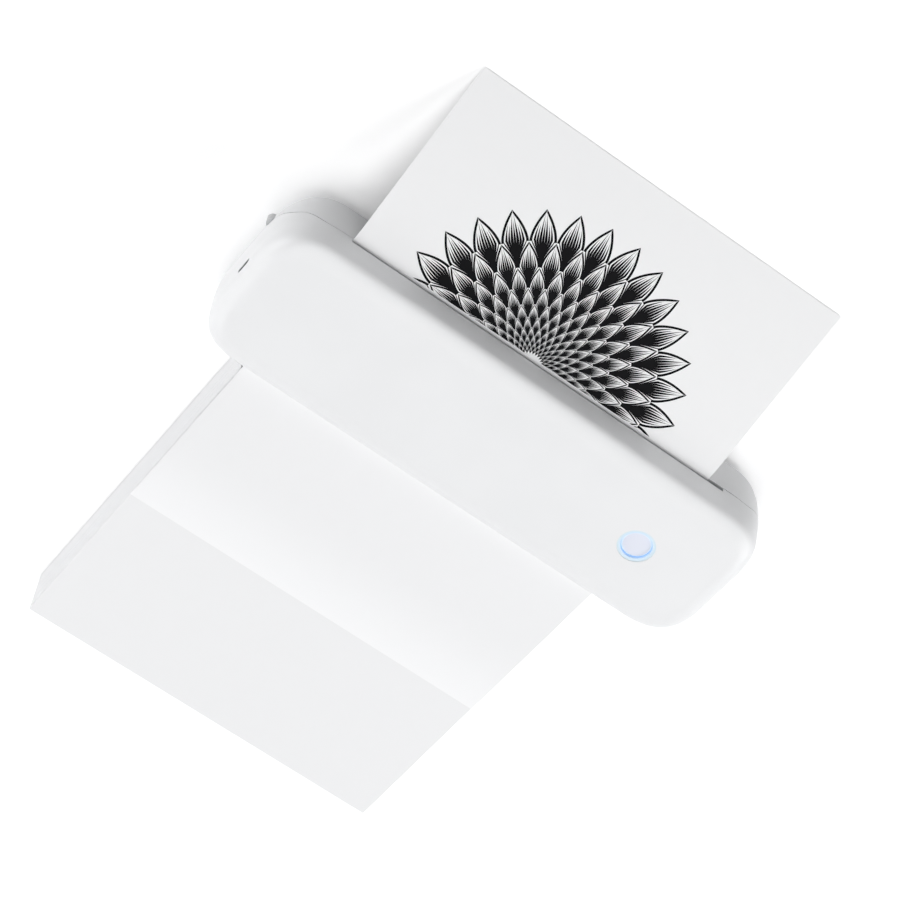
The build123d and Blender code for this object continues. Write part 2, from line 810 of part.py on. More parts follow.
# --- power button and its light ring ---
ring = rod_z(button_x, button_y, inner_top_z - bite, ring_top_z, ring_outer_radius)
ring = ring + rod_z(button_x, button_y, ring_flange_low_z, inner_top_z, ring_flange_radius)
ring = ring - rod_z(button_x, button_y, ring_flange_low_z - cut_over, ring_top_z + cut_over,
                    ring_inner_radius)
ring = ring - rod_z(button_x, button_y, ring_flange_low_z - cut_over, inner_top_z,
                    ring_pocket_radius)
save(ring, "button_light_ring")

cap = rod_z(button_x, button_y, button_flange_low_z, button_cap_top_z, button_cap_radius)
cap = chamfer(cap.edges().group_by(Axis.Z)[-1], button_cap_crown)
cap = cap + rod_z(button_x, button_y, button_flange_low_z,
                  button_flange_low_z + button_flange_thickness, button_flange_radius)
save(cap, "power_button")

# --- main board ---
board = box(board_left_x, board_right_x, board_front_y, board_rear_y, board_low_z, board_top_z)
board = board + box(board_right_x - board_tongue_overlap, board_tongue_end_x,
                    board_tongue_front_y, board_tongue_rear_y, board_low_z, board_top_z)
for x, y in board_post_places:
    board = board - rod_z(x, y, board_low_z - cut_over, board_top_z + cut_over,
                          board_screw_radius)
save(board, "main_board")

screws = []
for x, y in board_post_places:
    shank = rod_z(x, y, board_low_z - board_post_depth, board_top_z, board_screw_radius)
    head = rod_z(x, y, board_top_z, board_top_z + board_screw_head_height,
                 board_screw_head_radius)
    screws.append(shank + head)
save(Compound(children=screws), "board_screws")



def chips_on(x0, y0, length, width, top_z, shares, sizes):
    # Blocks standing on a board, each placed at its share of the board's length and width.
    blocks = []
    for (share_x, share_y), (chip_length, chip_width, chip_height) in zip(shares, sizes):
        x = x0 + share_x * length
        y = y0 + share_y * width
        blocks.append(box(x - chip_length / 2, x + chip_length / 2, y - chip_width / 2,
                          y + chip_width / 2, top_z, top_z + chip_height))
    return Compound(children=blocks)


save(chips_on(board_left_x, board_front_y, board_length, board_width, board_top_z,
              main_chip_shares, main_chip_sizes), "main_board_parts")

switch = box(button_x - switch_side / 2, button_x + switch_side / 2, button_y - switch_side / 2,
             button_y + switch_side / 2, board_top_z, board_top_z + switch_height)
switch = switch + rod_z(button_x, button_y, board_top_z + switch_height - bite,
                        board_top_z + switch_height + plunger_height, plunger_radius)
save(switch, "button_switch")

lights = []
for i in range(light_count):
    angle = math.radians(45 + i * 360 / light_count)
    x = button_x + light_circle_radius * math.cos(angle)
    y = button_y + light_circle_radius * math.sin(angle)
    x = max(x, board_left_x + light_size)
    y = max(y, board_front_y + light_size)
    half = light_size / 2
    lights.append(box(x - half, x + half, y - half, y + half, board_top_z,
                      board_top_z + light_height))
save(Compound(children=lights), "button_lights")

# --- charging port ---
port = port_slot(port_back_x, port_mouth_x, 0.0)
port = port - port_slot(port_back_x + port_back_wall, port_mouth_x + cut_over, -port_wall)
save(port, "charging_port")
tongue = box(port_back_x + port_back_wall, port_back_x + port_back_wall + port_tongue_length,
             port_y - port_tongue_width / 2, port_y + port_tongue_width / 2,
             port_z - port_tongue_height / 2, port_z + port_tongue_height / 2)
save(tongue, "charging_port_tongue")

# --- upper paper guide ---
guide_top_z = guide_low_z + guide_thickness
guide = box(guide_left_x - guide_cheek, guide_right_x + guide_cheek, guide_front_y,
            guide_rear_y, guide_low_z, guide_top_z)
guide = guide + box(guide_left_x - guide_cheek, guide_left_x, guide_front_y,
                    guide_cheek_rear_y, guide_low_z, inner_top_z)
guide = guide + box(guide_right_x, guide_right_x + guide_cheek, guide_cheek_right_front_y,
                    guide_cheek_rear_y, guide_low_z, inner_top_z)
for x, y in board_post_places:
    guide = guide + rod_z(x, y, guide_top_z - bite, board_low_z, board_post_radius)
    guide = guide - rod_z(x, y, board_low_z - board_post_depth, board_low_z + cut_over,
                          board_screw_radius)
save(guide, "cover_paper_guide")

# --- print head ---
heatsink_top_z = heatsink_low_z + heatsink_height
heatsink = box(head_left_x, head_right_x, heatsink_front_y, heatsink_rear_y, heatsink_low_z,
               heatsink_top_z)
for side in (-1, 1):
    middle = head_y + side * heatsink_groove_offset
    heatsink = heatsink - box(head_left_x - cut_over, head_right_x + cut_over,
                              middle - heatsink_groove / 2, middle + heatsink_groove / 2,
                              heatsink_top_z - heatsink_groove, heatsink_top_z + cut_over)
for x in guide_pin_places:
    heatsink = heatsink - rod_z(x, head_y, heatsink_low_z - cut_over, heatsink_top_z + cut_over,
                                guide_pin_radius + guide_pin_clearance)
save(heatsink, "head_heatsink")

ceramic_low_z = heatsink_low_z - ceramic_height
ceramic = box(head_left_x, head_right_x, ceramic_front_y, ceramic_rear_y, ceramic_low_z,
              heatsink_low_z)
glaze = rod_x(head_left_x, head_right_x, head_y, glaze_low_z + glaze_radius, glaze_radius)
ceramic = ceramic + glaze
for x in guide_pin_places:
    ceramic = ceramic - rod_z(x, head_y, glaze_low_z + glaze_radius, heatsink_low_z + cut_over,
                              guide_pin_radius + guide_pin_clearance)
save(ceramic, "head_ceramic")

strip = box(head_left_x + driver_strip_inset, head_right_x - driver_strip_inset,
            ceramic_rear_y + driver_strip_gap, heatsink_rear_y,
            heatsink_low_z - driver_strip_height, heatsink_low_z)
save(strip, "head_driver_strip")

bracket_low_z = inner_top_z - bracket_thickness
bracket_left = head_left_x - bracket_margin_x
bracket_right = head_right_x + bracket_margin_x
bracket = box(bracket_left, bracket_right, bracket_front_y, bracket_rear_y, bracket_low_z,
              inner_top_z)
for x0 in (bracket_left - bracket_thickness, bracket_right):
    bracket = bracket + box(x0, x0 + bracket_thickness, heatsink_front_y + bracket_ear_inset,
                            heatsink_rear_y - bracket_ear_inset, bracket_ear_low_z, inner_top_z)
for x in guide_pin_places:
    bracket = bracket + rod_z(x, head_y, guide_pin_low_z, bracket_low_z + bite, guide_pin_radius)
for x in head_screw_places:
    bracket = bracket - rod_z(x, head_y, bracket_low_z - cut_over, inner_top_z + cut_over,
                              board_screw_radius)
save(bracket, "head_bracket")

screws = []
for x in head_screw_places:
    shank = rod_z(x, head_y, bracket_low_z, inner_top_z, board_screw_radius)
    head = rod_z(x, head_y, bracket_low_z - board_screw_head_height, bracket_low_z,
                 board_screw_head_radius)
    screws.append(shank + head)
save(Compound(children=screws), "head_screws")


def coil(x, y, z0, z1, radius, wire, turns):
    # A spring along Z between z0 and z1, its wire ends just inside both.
    rise = z1 - z0 - 2 * wire
    path = Helix(pitch=rise / turns, height=rise, radius=radius)
    start = path @ 0
    profile = Plane(origin=start, z_dir=path % 0) * Circle(wire)
    return Pos(x, y, z0 + wire) * sweep(profile, path=path)


springs = []
for x in head_spring_places:
    springs.append(coil(x, head_y, heatsink_top_z + head_spring_gap,
                        bracket_low_z - head_spring_gap, head_spring_radius, head_spring_wire,
                        head_spring_turns))
save(Compound(children=springs), "head_springs")

# --- platen roller ---
rubber_left = paper_left_x - platen_rubber_margin
rubber_right = paper_right_x + platen_rubber_margin
shaft = rod_x(platen_shaft_left_x, platen_shaft_right_x, head_y, platen_z, platen_shaft_radius)
shaft = chamfer(shaft.edges().filter_by(GeomType.CIRCLE), platen_shaft_chamfer)
save(shaft, "platen_shaft")
rubber = rod_x(rubber_left, rubber_right, head_y, platen_z, platen_rubber_radius)
rubber = rubber - rod_x(rubber_left - cut_over, rubber_right + cut_over, head_y, platen_z,
                        platen_shaft_radius)
save(rubber, "platen_rubber")


def bearing(inner_face, outward):
    # A flanged bush: the flange lies on the cheek's inner face, the barrel goes through.
    flange_far = inner_face - outward * bearing_flange
    barrel_far = inner_face + outward * (bearing_length - bearing_flange)
    solid = rod_x(min(inner_face, flange_far), max(inner_face, flange_far), head_y, platen_z,
                  bearing_flange_radius)
    solid = solid + rod_x(min(inner_face, barrel_far), max(inner_face, barrel_far), head_y,
                          platen_z, bearing_radius)
    bore = platen_shaft_radius + bearing_running_clearance
    return solid - rod_x(inner_face - bearing_length, inner_face + bearing_length, head_y,
                         platen_z, bore)


save(bearing(deck_left_x, -1), "platen_bearing_left")
save(bearing(deck_right_x, 1), "platen_bearing_right")

# --- gear train at the left end ---
to_idler = math.degrees(math.atan2(idler_z - platen_z, idler_y - head_y))
to_pinion = math.degrees(math.atan2(motor_z - idler_z, motor_y - idler_y))
platen_phase = to_idler
idler_phase = mate_phase(platen_phase, platen_teeth, to_idler, idler_teeth)
pinion_phase = mate_phase(idler_phase, idler_teeth, to_pinion, pinion_teeth)

save(gear(platen_teeth, gear_left_x, gear_right_x, head_y, platen_z, platen_phase,
          platen_shaft_radius, gear_hub_radius, gear_right_x + gear_hub_length), "platen_gear")
save(gear(idler_teeth, gear_left_x, gear_right_x, idler_y, idler_z, idler_phase,
          idler_axle_radius + gear_bore_clearance), "idler_gear")
pinion_left_x = gear_left_x - pinion_overhang
save(gear(pinion_teeth, pinion_left_x, gear_right_x + pinion_overhang, motor_y, motor_z,
          pinion_phase, motor_shaft_radius), "motor_pinion")

collar_x = gear_left_x - axle_collar_gap
axle = rod_x(collar_x, deck_left_x, idler_y, idler_z, idler_axle_radius)
axle = axle + rod_x(collar_x - axle_collar_length, collar_x, idler_y, idler_z,
                    idler_axle_radius + axle_collar)
axle = axle + rod_x(gear_right_x + axle_collar_gap, cheek_left_out, idler_y, idler_z,
                    idler_axle_radius + axle_collar)
save(axle, "idler_axle")

motor_face_x = deck_left_x + motor_flange
motor = rod_x(motor_face_x, motor_face_x + motor_length, motor_y, motor_z, motor_radius)
motor = fillet(motor.edges().group_by(Axis.X)[-1], motor_edge_radius)
ears = box(deck_left_x, motor_face_x, motor_y - motor_ear_half_width,
           motor_y + motor_ear_half_width, motor_z - motor_radius + motor_ear_step,
           motor_z + motor_radius)
ears = ears + rod_x(deck_left_x, motor_face_x, motor_y, motor_z, motor_radius - motor_ear_step)
motor = motor + ears
motor_bore_x = deck_left_x + motor_bore_depth
motor = motor - rod_x(deck_left_x - cut_over, motor_bore_x, motor_y, motor_z,
                      motor_shaft_radius + motor_shaft_clearance)
save(motor, "motor")
motor_shaft = rod_x(pinion_left_x, motor_bore_x - motor_shaft_end_gap, motor_y, motor_z,
                    motor_shaft_radius)
save(motor_shaft, "motor_shaft")

# --- chassis ---
chassis = box(cheek_left_out, cheek_right_out, deck_front_y, deck_rear_y, deck_low_z, deck_top_z)
chassis = chassis - box(deck_left_x, deck_right_x, head_y - platen_gap_half,
                        head_y + platen_gap_half, deck_low_z - cut_over, deck_top_z + cut_over)
for x0, x1 in ((cheek_left_out, deck_left_x), (deck_right_x, cheek_right_out)):
    chassis = chassis + box(x0, x1, cheek_front_y, cheek_rear_y, floor_z, deck_top_z)
    chassis = chassis - rod_x(x0 - cut_over, x1 + cut_over, head_y, platen_z, bearing_radius)
    chassis = chassis - box(x0 - cut_over, x1 + cut_over, head_y - bearing_radius,
                            head_y + bearing_radius, platen_z, deck_top_z + cut_over)
chassis = chassis - rod_x(cheek_left_out - cut_over, deck_left_x + cut_over, motor_y, motor_z,
                          motor_shaft_radius + motor_hole_margin)
chassis = chassis - rod_x(cheek_left_out - cut_over, deck_left_x + cut_over, idler_y, idler_z,
                          idler_axle_radius)
for x, y in boss_places:
    chassis = chassis - rod_z(x, y, deck_low_z - cut_over, deck_top_z + cut_over, screw_radius)
chassis = chassis - box(sensor_x - sensor_width / 2, sensor_x + sensor_width / 2,
                        sensor_y - sensor_depth / 2, sensor_y + sensor_depth / 2,
                        deck_low_z - cut_over, deck_top_z + cut_over)
save(chassis, "chassis")

sensor = box(sensor_x - sensor_width / 2, sensor_x + sensor_width / 2,
             sensor_y - sensor_depth / 2, sensor_y + sensor_depth / 2,
             deck_low_z - sensor_body_low, deck_top_z - sensor_below_deck)
sensor = sensor + box(sensor_x - sensor_board_length / 2, sensor_x + sensor_board_length / 2,
                      sensor_y - sensor_board_width / 2, sensor_y + sensor_board_width / 2,
                      deck_low_z - sensor_board_thickness, deck_low_z)
save(sensor, "paper_sensor")

screws = []
head_low_z = screw_recess_top_z - screw_head_height
for x, y in boss_places:
    shank = rod_z(x, y, screw_recess_top_z, deck_top_z - screw_tip_gap, screw_radius)
    head = rod_z(x, y, head_low_z, screw_recess_top_z, screw_head_radius)
    head = head - box(x - screw_slot_length / 2, x + screw_slot_length / 2,
                      y - screw_slot_width / 2, y + screw_slot_width / 2,
                      head_low_z - cut_over, head_low_z + screw_slot_depth)
    screws.append(shank + head)
save(Compound(children=screws), "case_screws")

# --- battery ---
cell_z = floor_z + tray_floor + cell_radius
tray_y0 = cell_y - cell_radius - tray_side_gap
tray_y1 = cell_y + cell_radius + tray_side_gap
tray = box(tray_x0, tray_x1, tray_y0 - tray_wall, tray_y1 + tray_wall, floor_z,
           floor_z + tray_height)
tray = tray - box(tray_x0 + tray_wall, tray_x1 - tray_wall, tray_y0, tray_y1,
                  floor_z + tray_floor, floor_z + tray_height + cut_over)
save(tray, "battery_tray")
for i, side in enumerate(("left", "right")):
    x0 = cell_start_x + i * (cell_length + cell_gap)
    shoulder = x0 + cell_length - cell_tip_height
    cell = rod_x(x0, shoulder, cell_y, cell_z, cell_radius)
    cell = fillet(cell.edges().filter_by(GeomType.CIRCLE), cell_edge_radius)
    cell = cell + rod_x(shoulder - bite, x0 + cell_length, cell_y, cell_z, cell_tip_radius)
    save(cell, "battery_cell_" + side)
contacts = []
for x0, x1 in ((tray_x0 + tray_wall, cell_start_x),
               (cell_start_x + cell_length, cell_start_x + cell_length + cell_gap),
               (cells_end_x, tray_x1 - tray_wall)):
    contacts.append(box(x0, x1, cell_y - contact_half_width, cell_y + contact_half_width,
                        floor_z + tray_floor, cell_z + contact_rise))
save(Compound(children=contacts), "battery_contacts")

# --- control board in the base ---
control_top_z = control_low_z + control_thickness
save(box(control_left_x, control_right_x, control_front_y, control_rear_y, control_low_z,
         control_top_z), "control_board")
save(chips_on(control_left_x, control_front_y, control_right_x - control_left_x, control_width,
              control_top_z, control_chip_shares, control_chip_sizes), "control_board_parts")

# --- rubber underside ---
pad = box(-pad_length / 2, pad_length / 2, -pad_width / 2, pad_width / 2, 0.0, case_bottom)
pad = fillet(pad.edges().filter_by(Axis.Z), pad_width / 2 - 0.1)
save(pad, "rubber_pad")
feet = [rod_z(x, y, 0.0, case_bottom, foot_radius) for x, y in foot_places]
save(Compound(children=feet), "rubber_feet")

# --- paper ---
stack = box(paper_left_x, paper_right_x, stack_near_y, stack_far_y, 0.0, stack_height)
stack = fillet(stack.edges().filter_by(Axis.Z), stack_corner_radius)
save(stack, "paper_stack")

lift = ease_points(lift_start_y, stack_height + paper_thickness / 2, lift_end_y, lift_z, 8)
feed_points = [(stack_far_y, stack_height + paper_thickness / 2)]
feed_points += lift
feed_points += [(half_width + feed_level_length, path_rear_z), (half_width, path_rear_z)]
feed_points += [(sheet_break_y, path_z(sheet_break_y))]
feed_points.reverse()
save(ribbon(feed_points, paper_left_x, paper_right_x, paper_thickness), "feed_sheet")

# The printed page bends down just outside the slot, then runs straight to the floor.
start_z = path_z(sheet_break_y)
target = (sheet_end_y, paper_thickness / 2 + sheet_tip_gap)
slope = math.atan2(start_z - sheet_bend_drop - target[1],
                   sheet_break_y - sheet_bend_length - target[0])
first_slope = math.atan2(path_rear_z - path_front_z, case_width)
sheet_points = [(sheet_break_y - sheet_break_gap, start_z)]
y, z = sheet_points[0]
steps = 8
for i in range(steps):
    angle = first_slope + (slope - first_slope) * (i + 1) / steps
    y = y - sheet_bend_length / steps * math.cos(angle)
    z = z - sheet_bend_length / steps * math.sin(angle)
    sheet_points.append((y, z))
sheet_points.append(target)
sheet_points.reverse()
sheet = ribbon(sheet_points, paper_left_x, paper_right_x, paper_thickness)
trim = box(paper_left_x, paper_right_x, sheet_end_y - sheet_trim, 0.0, -case_top, case_top)
trim = fillet(trim.edges().filter_by(Axis.Z).group_by(Axis.Y)[0], sheet_corner_radius)
sheet = sheet & trim
save(sheet, "printed_sheet")
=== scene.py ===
import json
import math
import bmesh
import bpy
from bpy.props import FloatProperty, FloatVectorProperty, IntProperty, PointerProperty
from bpy.types import Operator, Panel, PropertyGroup
from mathutils import Euler, Matrix, Vector


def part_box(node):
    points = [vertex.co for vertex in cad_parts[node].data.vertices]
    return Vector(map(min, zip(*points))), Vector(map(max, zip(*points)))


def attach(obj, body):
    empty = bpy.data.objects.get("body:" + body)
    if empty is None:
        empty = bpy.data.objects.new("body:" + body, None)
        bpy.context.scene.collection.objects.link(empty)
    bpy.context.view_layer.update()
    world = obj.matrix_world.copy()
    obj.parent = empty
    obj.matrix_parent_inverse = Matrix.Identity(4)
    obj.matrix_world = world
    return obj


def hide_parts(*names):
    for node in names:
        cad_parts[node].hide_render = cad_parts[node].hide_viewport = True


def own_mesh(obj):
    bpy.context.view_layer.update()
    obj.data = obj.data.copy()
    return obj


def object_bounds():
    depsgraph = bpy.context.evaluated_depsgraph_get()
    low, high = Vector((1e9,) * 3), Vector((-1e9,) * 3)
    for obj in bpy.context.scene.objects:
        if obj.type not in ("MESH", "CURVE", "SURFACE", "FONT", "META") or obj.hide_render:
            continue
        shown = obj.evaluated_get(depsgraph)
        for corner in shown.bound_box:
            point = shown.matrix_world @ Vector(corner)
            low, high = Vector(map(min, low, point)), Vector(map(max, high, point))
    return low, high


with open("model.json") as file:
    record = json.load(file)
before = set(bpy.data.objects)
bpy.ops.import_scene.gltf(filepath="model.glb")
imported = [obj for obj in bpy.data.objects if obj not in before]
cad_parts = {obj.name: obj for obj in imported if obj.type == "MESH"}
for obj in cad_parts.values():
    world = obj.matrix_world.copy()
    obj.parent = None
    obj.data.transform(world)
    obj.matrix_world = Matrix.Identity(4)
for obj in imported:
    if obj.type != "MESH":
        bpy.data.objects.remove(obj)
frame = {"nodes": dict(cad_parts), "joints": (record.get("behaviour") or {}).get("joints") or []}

bl_info = {
    "name": "Portable Label Printer",
    "version": (1, 0, 0),
    "blender": (4, 5, 0),
    "location": "3D View > Sidebar > Printer",
    "description": "Dresses the portable label printer and sets its stage",
    "category": "Object",
}

CAD_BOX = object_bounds()
STACK_LOW, STACK_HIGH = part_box("paper_stack")
RING_LOW, RING_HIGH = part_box("button_light_ring")
BOARD_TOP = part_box("main_board")[1].z
TONGUE_LOW, TONGUE_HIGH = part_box("charging_port_tongue")

MERGE_DISTANCE = 0.000001

# The cap's hidden flange is wider than the cap, and the ring starts a narrow gap outside it.
CAP_FLANGE = 0.0008
RING_GAP = 0.0002
RING_REACH = 0.0021
RING_DEPTH = 0.0016
RING_EDGE = 0.0001

# The bare metal at both ends of a battery cell.
CELL_BASE = 0.0016
CELL_TIP = 0.0020

# Painted highlight: the feed page is painted whiter over this length up to its crease, standing in
# for the light on the part that lifts off the stack, and is plain past it.
# The easing would end a little past the crease, so it is still rising where it is cut.
CREASE_RISE = 0.055
CREASE_OVERRUN = 0.012
# How much whiter the painted highlight makes the page before its crease.
CREASE_HIGHLIGHT = 1.09

# A page is a little thinner than the stack's pitch, so that gaps show.
PAGE_SHARE = 0.97

# The print starts this far from the sheet's end in the slot.
SLOT_CUT = 0.0006
# Down to here it is also cut at every row of the sheet's bend, to follow it.
BEND_REACH = 0.012
PETAL_STEPS = 8
OUTLINE_STEPS = 10
OUTLINE_WIDTH = 0.020

# An edge of the springs that turns more than this stays sharp.
SPRING_EDGE = math.radians(50.0)

# The rows of pins round the first chips from the left, and the contacts in the charging port.
PIN_PITCH = 0.0013
PIN_REACH = 0.0004
PIN_LIFT = 0.0002
PIN_SIZE = (0.0010, 0.00045, 0.00036)
DRESSED_CHIPS = 3
CONTACT_COUNT = 12
CONTACT_PITCH = 0.0005
CONTACT_SHIFT = 0.0004
CONTACT_LIFT = 0.00002
CONTACT_SIZE = (0.0036, 0.00027, 0.00006)

# The floor is seen with a weak glow near the object, and as plain white far from it.
FLOOR_SIZE = 6.0
FLOOR_DROP = 0.0002
FLOOR_GLOW = 0.19
GLOW_NEAR = 0.6
GLOW_FAR = 2.2
RAYS_THAT_SEE_WHITE = ("Is Camera Ray", "Is Glossy Ray", "Is Transmission Ray")

# Each panel's name, place, size and the setting that holds its power.
LIGHT_PANELS = (
    ("left_panel", (-1.3, 0.1, 0.8), 0.9, "left_light"),
    ("right_panel", (1.4, 0.1, 0.35), 0.6, "right_light"),
    ("corner_panel", (0.95, 0.95, 0.9), 0.9, "corner_light"),
    ("top_panel", (0.0, 0.1, 1.7), 1.2, "top_light"),
    ("front_panel", (0.0, -1.4, 0.5), 0.8, "front_light"),
)
CAMERA_TURN = tuple(math.radians(angle) for angle in (-36.12455, 6.14633, -143.80029))


# Shader kit


class Value:
    """A number on a shader socket, so that a pattern reads as a formula."""

    def __init__(self, finish, socket):
        self.finish = finish
        self.socket = socket

    def combine(self, operation, *numbers):
        return self.finish.add("ShaderNodeMath", {"operation": operation}, dict(enumerate(numbers)))

    def __add__(self, other):
        return self.combine("ADD", self, other)

    def __radd__(self, other):
        return self.combine("ADD", other, self)

    def __sub__(self, other):
        return self.combine("SUBTRACT", self, other)

    def __rsub__(self, other):
        return self.combine("SUBTRACT", other, self)

    def __mul__(self, other):
        return self.combine("MULTIPLY", self, other)

    def __rmul__(self, other):
        return self.combine("MULTIPLY", other, self)

    def __truediv__(self, other):
        return self.combine("DIVIDE", self, other)

    def __pow__(self, other):
        return self.combine("POWER", self, other)

    def above(self, limit):
        return self.combine("GREATER_THAN", self, limit)

    def below(self, limit):
        return self.combine("LESS_THAN", self, limit)

    def smaller(self, other):
        return self.combine("MINIMUM", self, other)

    def larger(self, other):
        return self.combine("MAXIMUM", self, other)

    def whole(self):
        return self.combine("FLOOR", self)

    def part(self):
        return self.combine("FRACT", self)

    def left_over(self, length):
        return self.combine("MODULO", self, length)

    def size(self):
        return self.combine("ABSOLUTE", self)

    def root(self):
        return self.combine("SQRT", self)

    def eased(self, low, high):
        """Zero below low, one above high and a soft step between them."""
        settings = {"interpolation_type": "SMOOTHSTEP"}
        inputs = {"Value": self, "From Min": low, "From Max": high}
        return self.finish.add("ShaderNodeMapRange", settings, inputs)


class Finish:
    """A material in the making: one Principled surface and what feeds it."""

    def __init__(self, name, colour, roughness, metallic=0.0):
        self.material = bpy.data.materials.new(name)
        self.material.use_nodes = True
        self.material.diffuse_color = (*colour, 1.0)
        self.tree = self.material.node_tree
        self.tree.nodes.clear()
        output = self.tree.nodes.new("ShaderNodeOutputMaterial")
        self.surface = self.tree.nodes.new("ShaderNodeBsdfPrincipled")
        self.tree.links.new(self.surface.outputs["BSDF"], output.inputs["Surface"])
        self.colour = colour
        self.put("Base Color", (*colour, 1.0))
        self.put("Roughness", roughness)
        self.put("Metallic", metallic)

    def feed(self, socket, value):
        if isinstance(value, Value):
            self.tree.links.new(value.socket, socket)
        else:
            socket.default_value = value

    def put(self, name, value):
        self.feed(self.surface.inputs[name], value)

    def add(self, kind, settings=None, inputs=None, output=0):
        """Adds one node: its settings first, then the values or links of its sockets."""
        node = self.tree.nodes.new(kind)
        for key, value in (settings or {}).items():
            setattr(node, key, value)
        for key, value in (inputs or {}).items():
            self.feed(node.inputs[key], value)
        return Value(self, node.outputs[output])

    def place(self):
        """The place on the piece in metres, in the object's own coordinates."""
        return self.add("ShaderNodeTexCoord", output="Object")

    def axes(self, place):
        """The place split into x, y and z."""
        split = self.add("ShaderNodeSeparateXYZ", {}, {0: place}).socket.node
        return [Value(self, output) for output in split.outputs]

    def stretched(self, place, scale):
        settings = {"vector_type": "TEXTURE"}
        return self.add("ShaderNodeMapping", settings, {"Vector": place, "Scale": scale})

    def noise(self, place, scale, detail=2.0, roughness=0.5):
        inputs = {"Vector": place, "Scale": scale, "Detail": detail, "Roughness": roughness}
        return self.add("ShaderNodeTexNoise", {"noise_dimensions": "3D"}, inputs)

    def cells(self, place, scale):
        """How far each point is from the nearest of many scattered points."""
        settings = {"voronoi_dimensions": "3D", "feature": "F1"}
        return self.add("ShaderNodeTexVoronoi", settings, {"Vector": place, "Scale": scale})

    def chance(self, value):
        """A random number from zero to one that belongs to this value."""
        settings = {"noise_dimensions": "1D"}
        return self.add("ShaderNodeTexWhiteNoise", settings, {"W": value})

    def blend(self, share, first, second):
        """Mixes two colours, each a Value or three numbers."""
        inputs = {0: share, 6: first, 7: second}
        for index in (6, 7):
            if isinstance(inputs[index], tuple):
                inputs[index] = (*inputs[index], 1.0)
        return self.add("ShaderNodeMix", {"data_type": "RGBA"}, inputs, 2)

    def bump(self, height, depth, strength=1.0):
        inputs = {"Height": height, "Distance": depth, "Strength": strength}
        self.put("Normal", self.add("ShaderNodeBump", {}, inputs))

    def distance(self, x, y, centre=(0.0, 0.0)):
        """How far a point lies from an upright axis through this centre."""
        return ((x - centre[0]) ** 2.0 + (y - centre[1]) ** 2.0).root()

    def flat_top(self):
        """One where the surface faces straight up or down, and zero where it is upright."""
        return self.axes(self.add("ShaderNodeNewGeometry", output="Normal"))[2].size()

    def tint(self, share, darker, lighter):
        """Lets the base colour drift between two shades of itself."""
        low = tuple(c * darker for c in self.colour)
        high = tuple(min(1.0, c * lighter) for c in self.colour)
        self.put("Base Color", self.blend(share, low, high))


def moulded(name, colour, roughness=0.42, grain=0.5):
    """Injection moulded plastic: a fine spark-eroded grain and a faint drift of tone."""
    made = Finish(name, colour, roughness)
    place = made.place()
    fine = made.noise(place, 1900.0, 3.0, 0.6)
    pits = made.cells(place, 2600.0)
    broad = made.noise(place, 22.0, 2.0)
    made.tint(broad.eased(0.3, 0.7), 0.988, 1.008)
    made.put("Roughness", roughness - 0.03 + 0.06 * fine)
    made.bump(fine * 0.6 + pits * 0.4, 0.00003, grain)
    return made.material


def drawn_metal(name, colour, roughness=0.32, along="X"):
    """Metal with the fine lines of drawing or rolling along one axis."""
    made = Finish(name, colour, roughness, 1.0)
    place = made.place()
    stretch = {"X": (30.0, 1.0, 1.0), "Y": (1.0, 30.0, 1.0), "Z": (1.0, 1.0, 30.0)}[along]
    lines = made.noise(made.stretched(place, stretch), 3200.0, 3.0, 0.6)
    broad = made.noise(place, 120.0, 3.0)
    made.tint(lines * 0.6 + broad * 0.4, 0.86, 1.08)
    made.put("Roughness", roughness - 0.06 + 0.14 * lines)
    made.bump(lines, 0.00001, 0.5)
    return made.material


def ground_rubber(name, colour, roughness=0.75):
    """Rubber with a ground, slightly dusty surface."""
    made = Finish(name, colour, roughness)
    place = made.place()
    fine = made.noise(place, 2400.0, 4.0, 0.7)
    dust = made.noise(place, 160.0, 3.0)
    made.tint(fine * 0.5 + dust * 0.5, 0.75, 1.35)
    made.put("Roughness", roughness + 0.12 * dust)
    made.bump(fine, 0.00005, 0.7)
    return made.material


def smooth_paper(name, colour, crease=None):
    """Coated paper: long flattened fibres, a cloudy sheet and an eggshell gloss.

    Before its crease, seen from the printer, the page is bent up, and there it is painted whiter as
    a painted highlight for the light it catches.
    """
    made = Finish(name, colour, 0.5)
    place = made.place()
    fibres = made.noise(made.stretched(place, (2.0, 9.0, 2.0)), 5200.0, 4.0, 0.65)
    cloud = made.noise(place, 95.0, 4.0, 0.6)
    mottle = cloud * 0.7 + fibres * 0.3
    if crease is None:
        made.tint(mottle, 0.988, 1.006)
    else:
        y = made.axes(place)[1]
        # Painted highlight: a whiter base colour where the page lifts off the stack before its
        # crease.
        lift_highlight_share = y.eased(crease - CREASE_RISE, crease + CREASE_OVERRUN) * y.below(crease)
        plain = made.blend(mottle, tuple(c * 0.988 for c in colour), colour)
        painted_highlight = tuple(min(1.0, c * CREASE_HIGHLIGHT) for c in colour)
        made.put("Base Color", made.blend(lift_highlight_share, plain, painted_highlight))
    made.put("Roughness", 0.47 + 0.1 * fibres)
    made.bump(fibres * 0.7 + cloud * 0.3, 0.000012, 0.6)
    return made.material


def stacked_paper(name, colour, pitch):
    """Cut edges of stacked pages: every page has its own tone, and the thin gaps between pages are
    darkened as painted shade.
    """
    made = Finish(name, colour, 0.62)
    place = made.place()
    layer = made.axes(place)[2] / pitch
    inside = (layer.part() - 0.5).size()
    shade = made.chance(layer.whole())
    fibres = made.noise(place, 3600.0, 3.0, 0.6)
    # Painted shade: the edges of each page are darkened where shade falls in the gaps between
    # pages.
    painted_gap_shade = inside.eased(0.40, 0.5) * 0.35
    side = 1.0 - made.flat_top().eased(0.3, 0.7)
    share = (shade * 0.5 + fibres * 0.25 + painted_gap_shade) * side
    made.put("Base Color", made.blend(share, colour, tuple(c * 0.93 for c in colour)))
    made.bump(fibres * 0.4 + inside * 0.6 * side, 0.00003, 0.4)
    return made.material


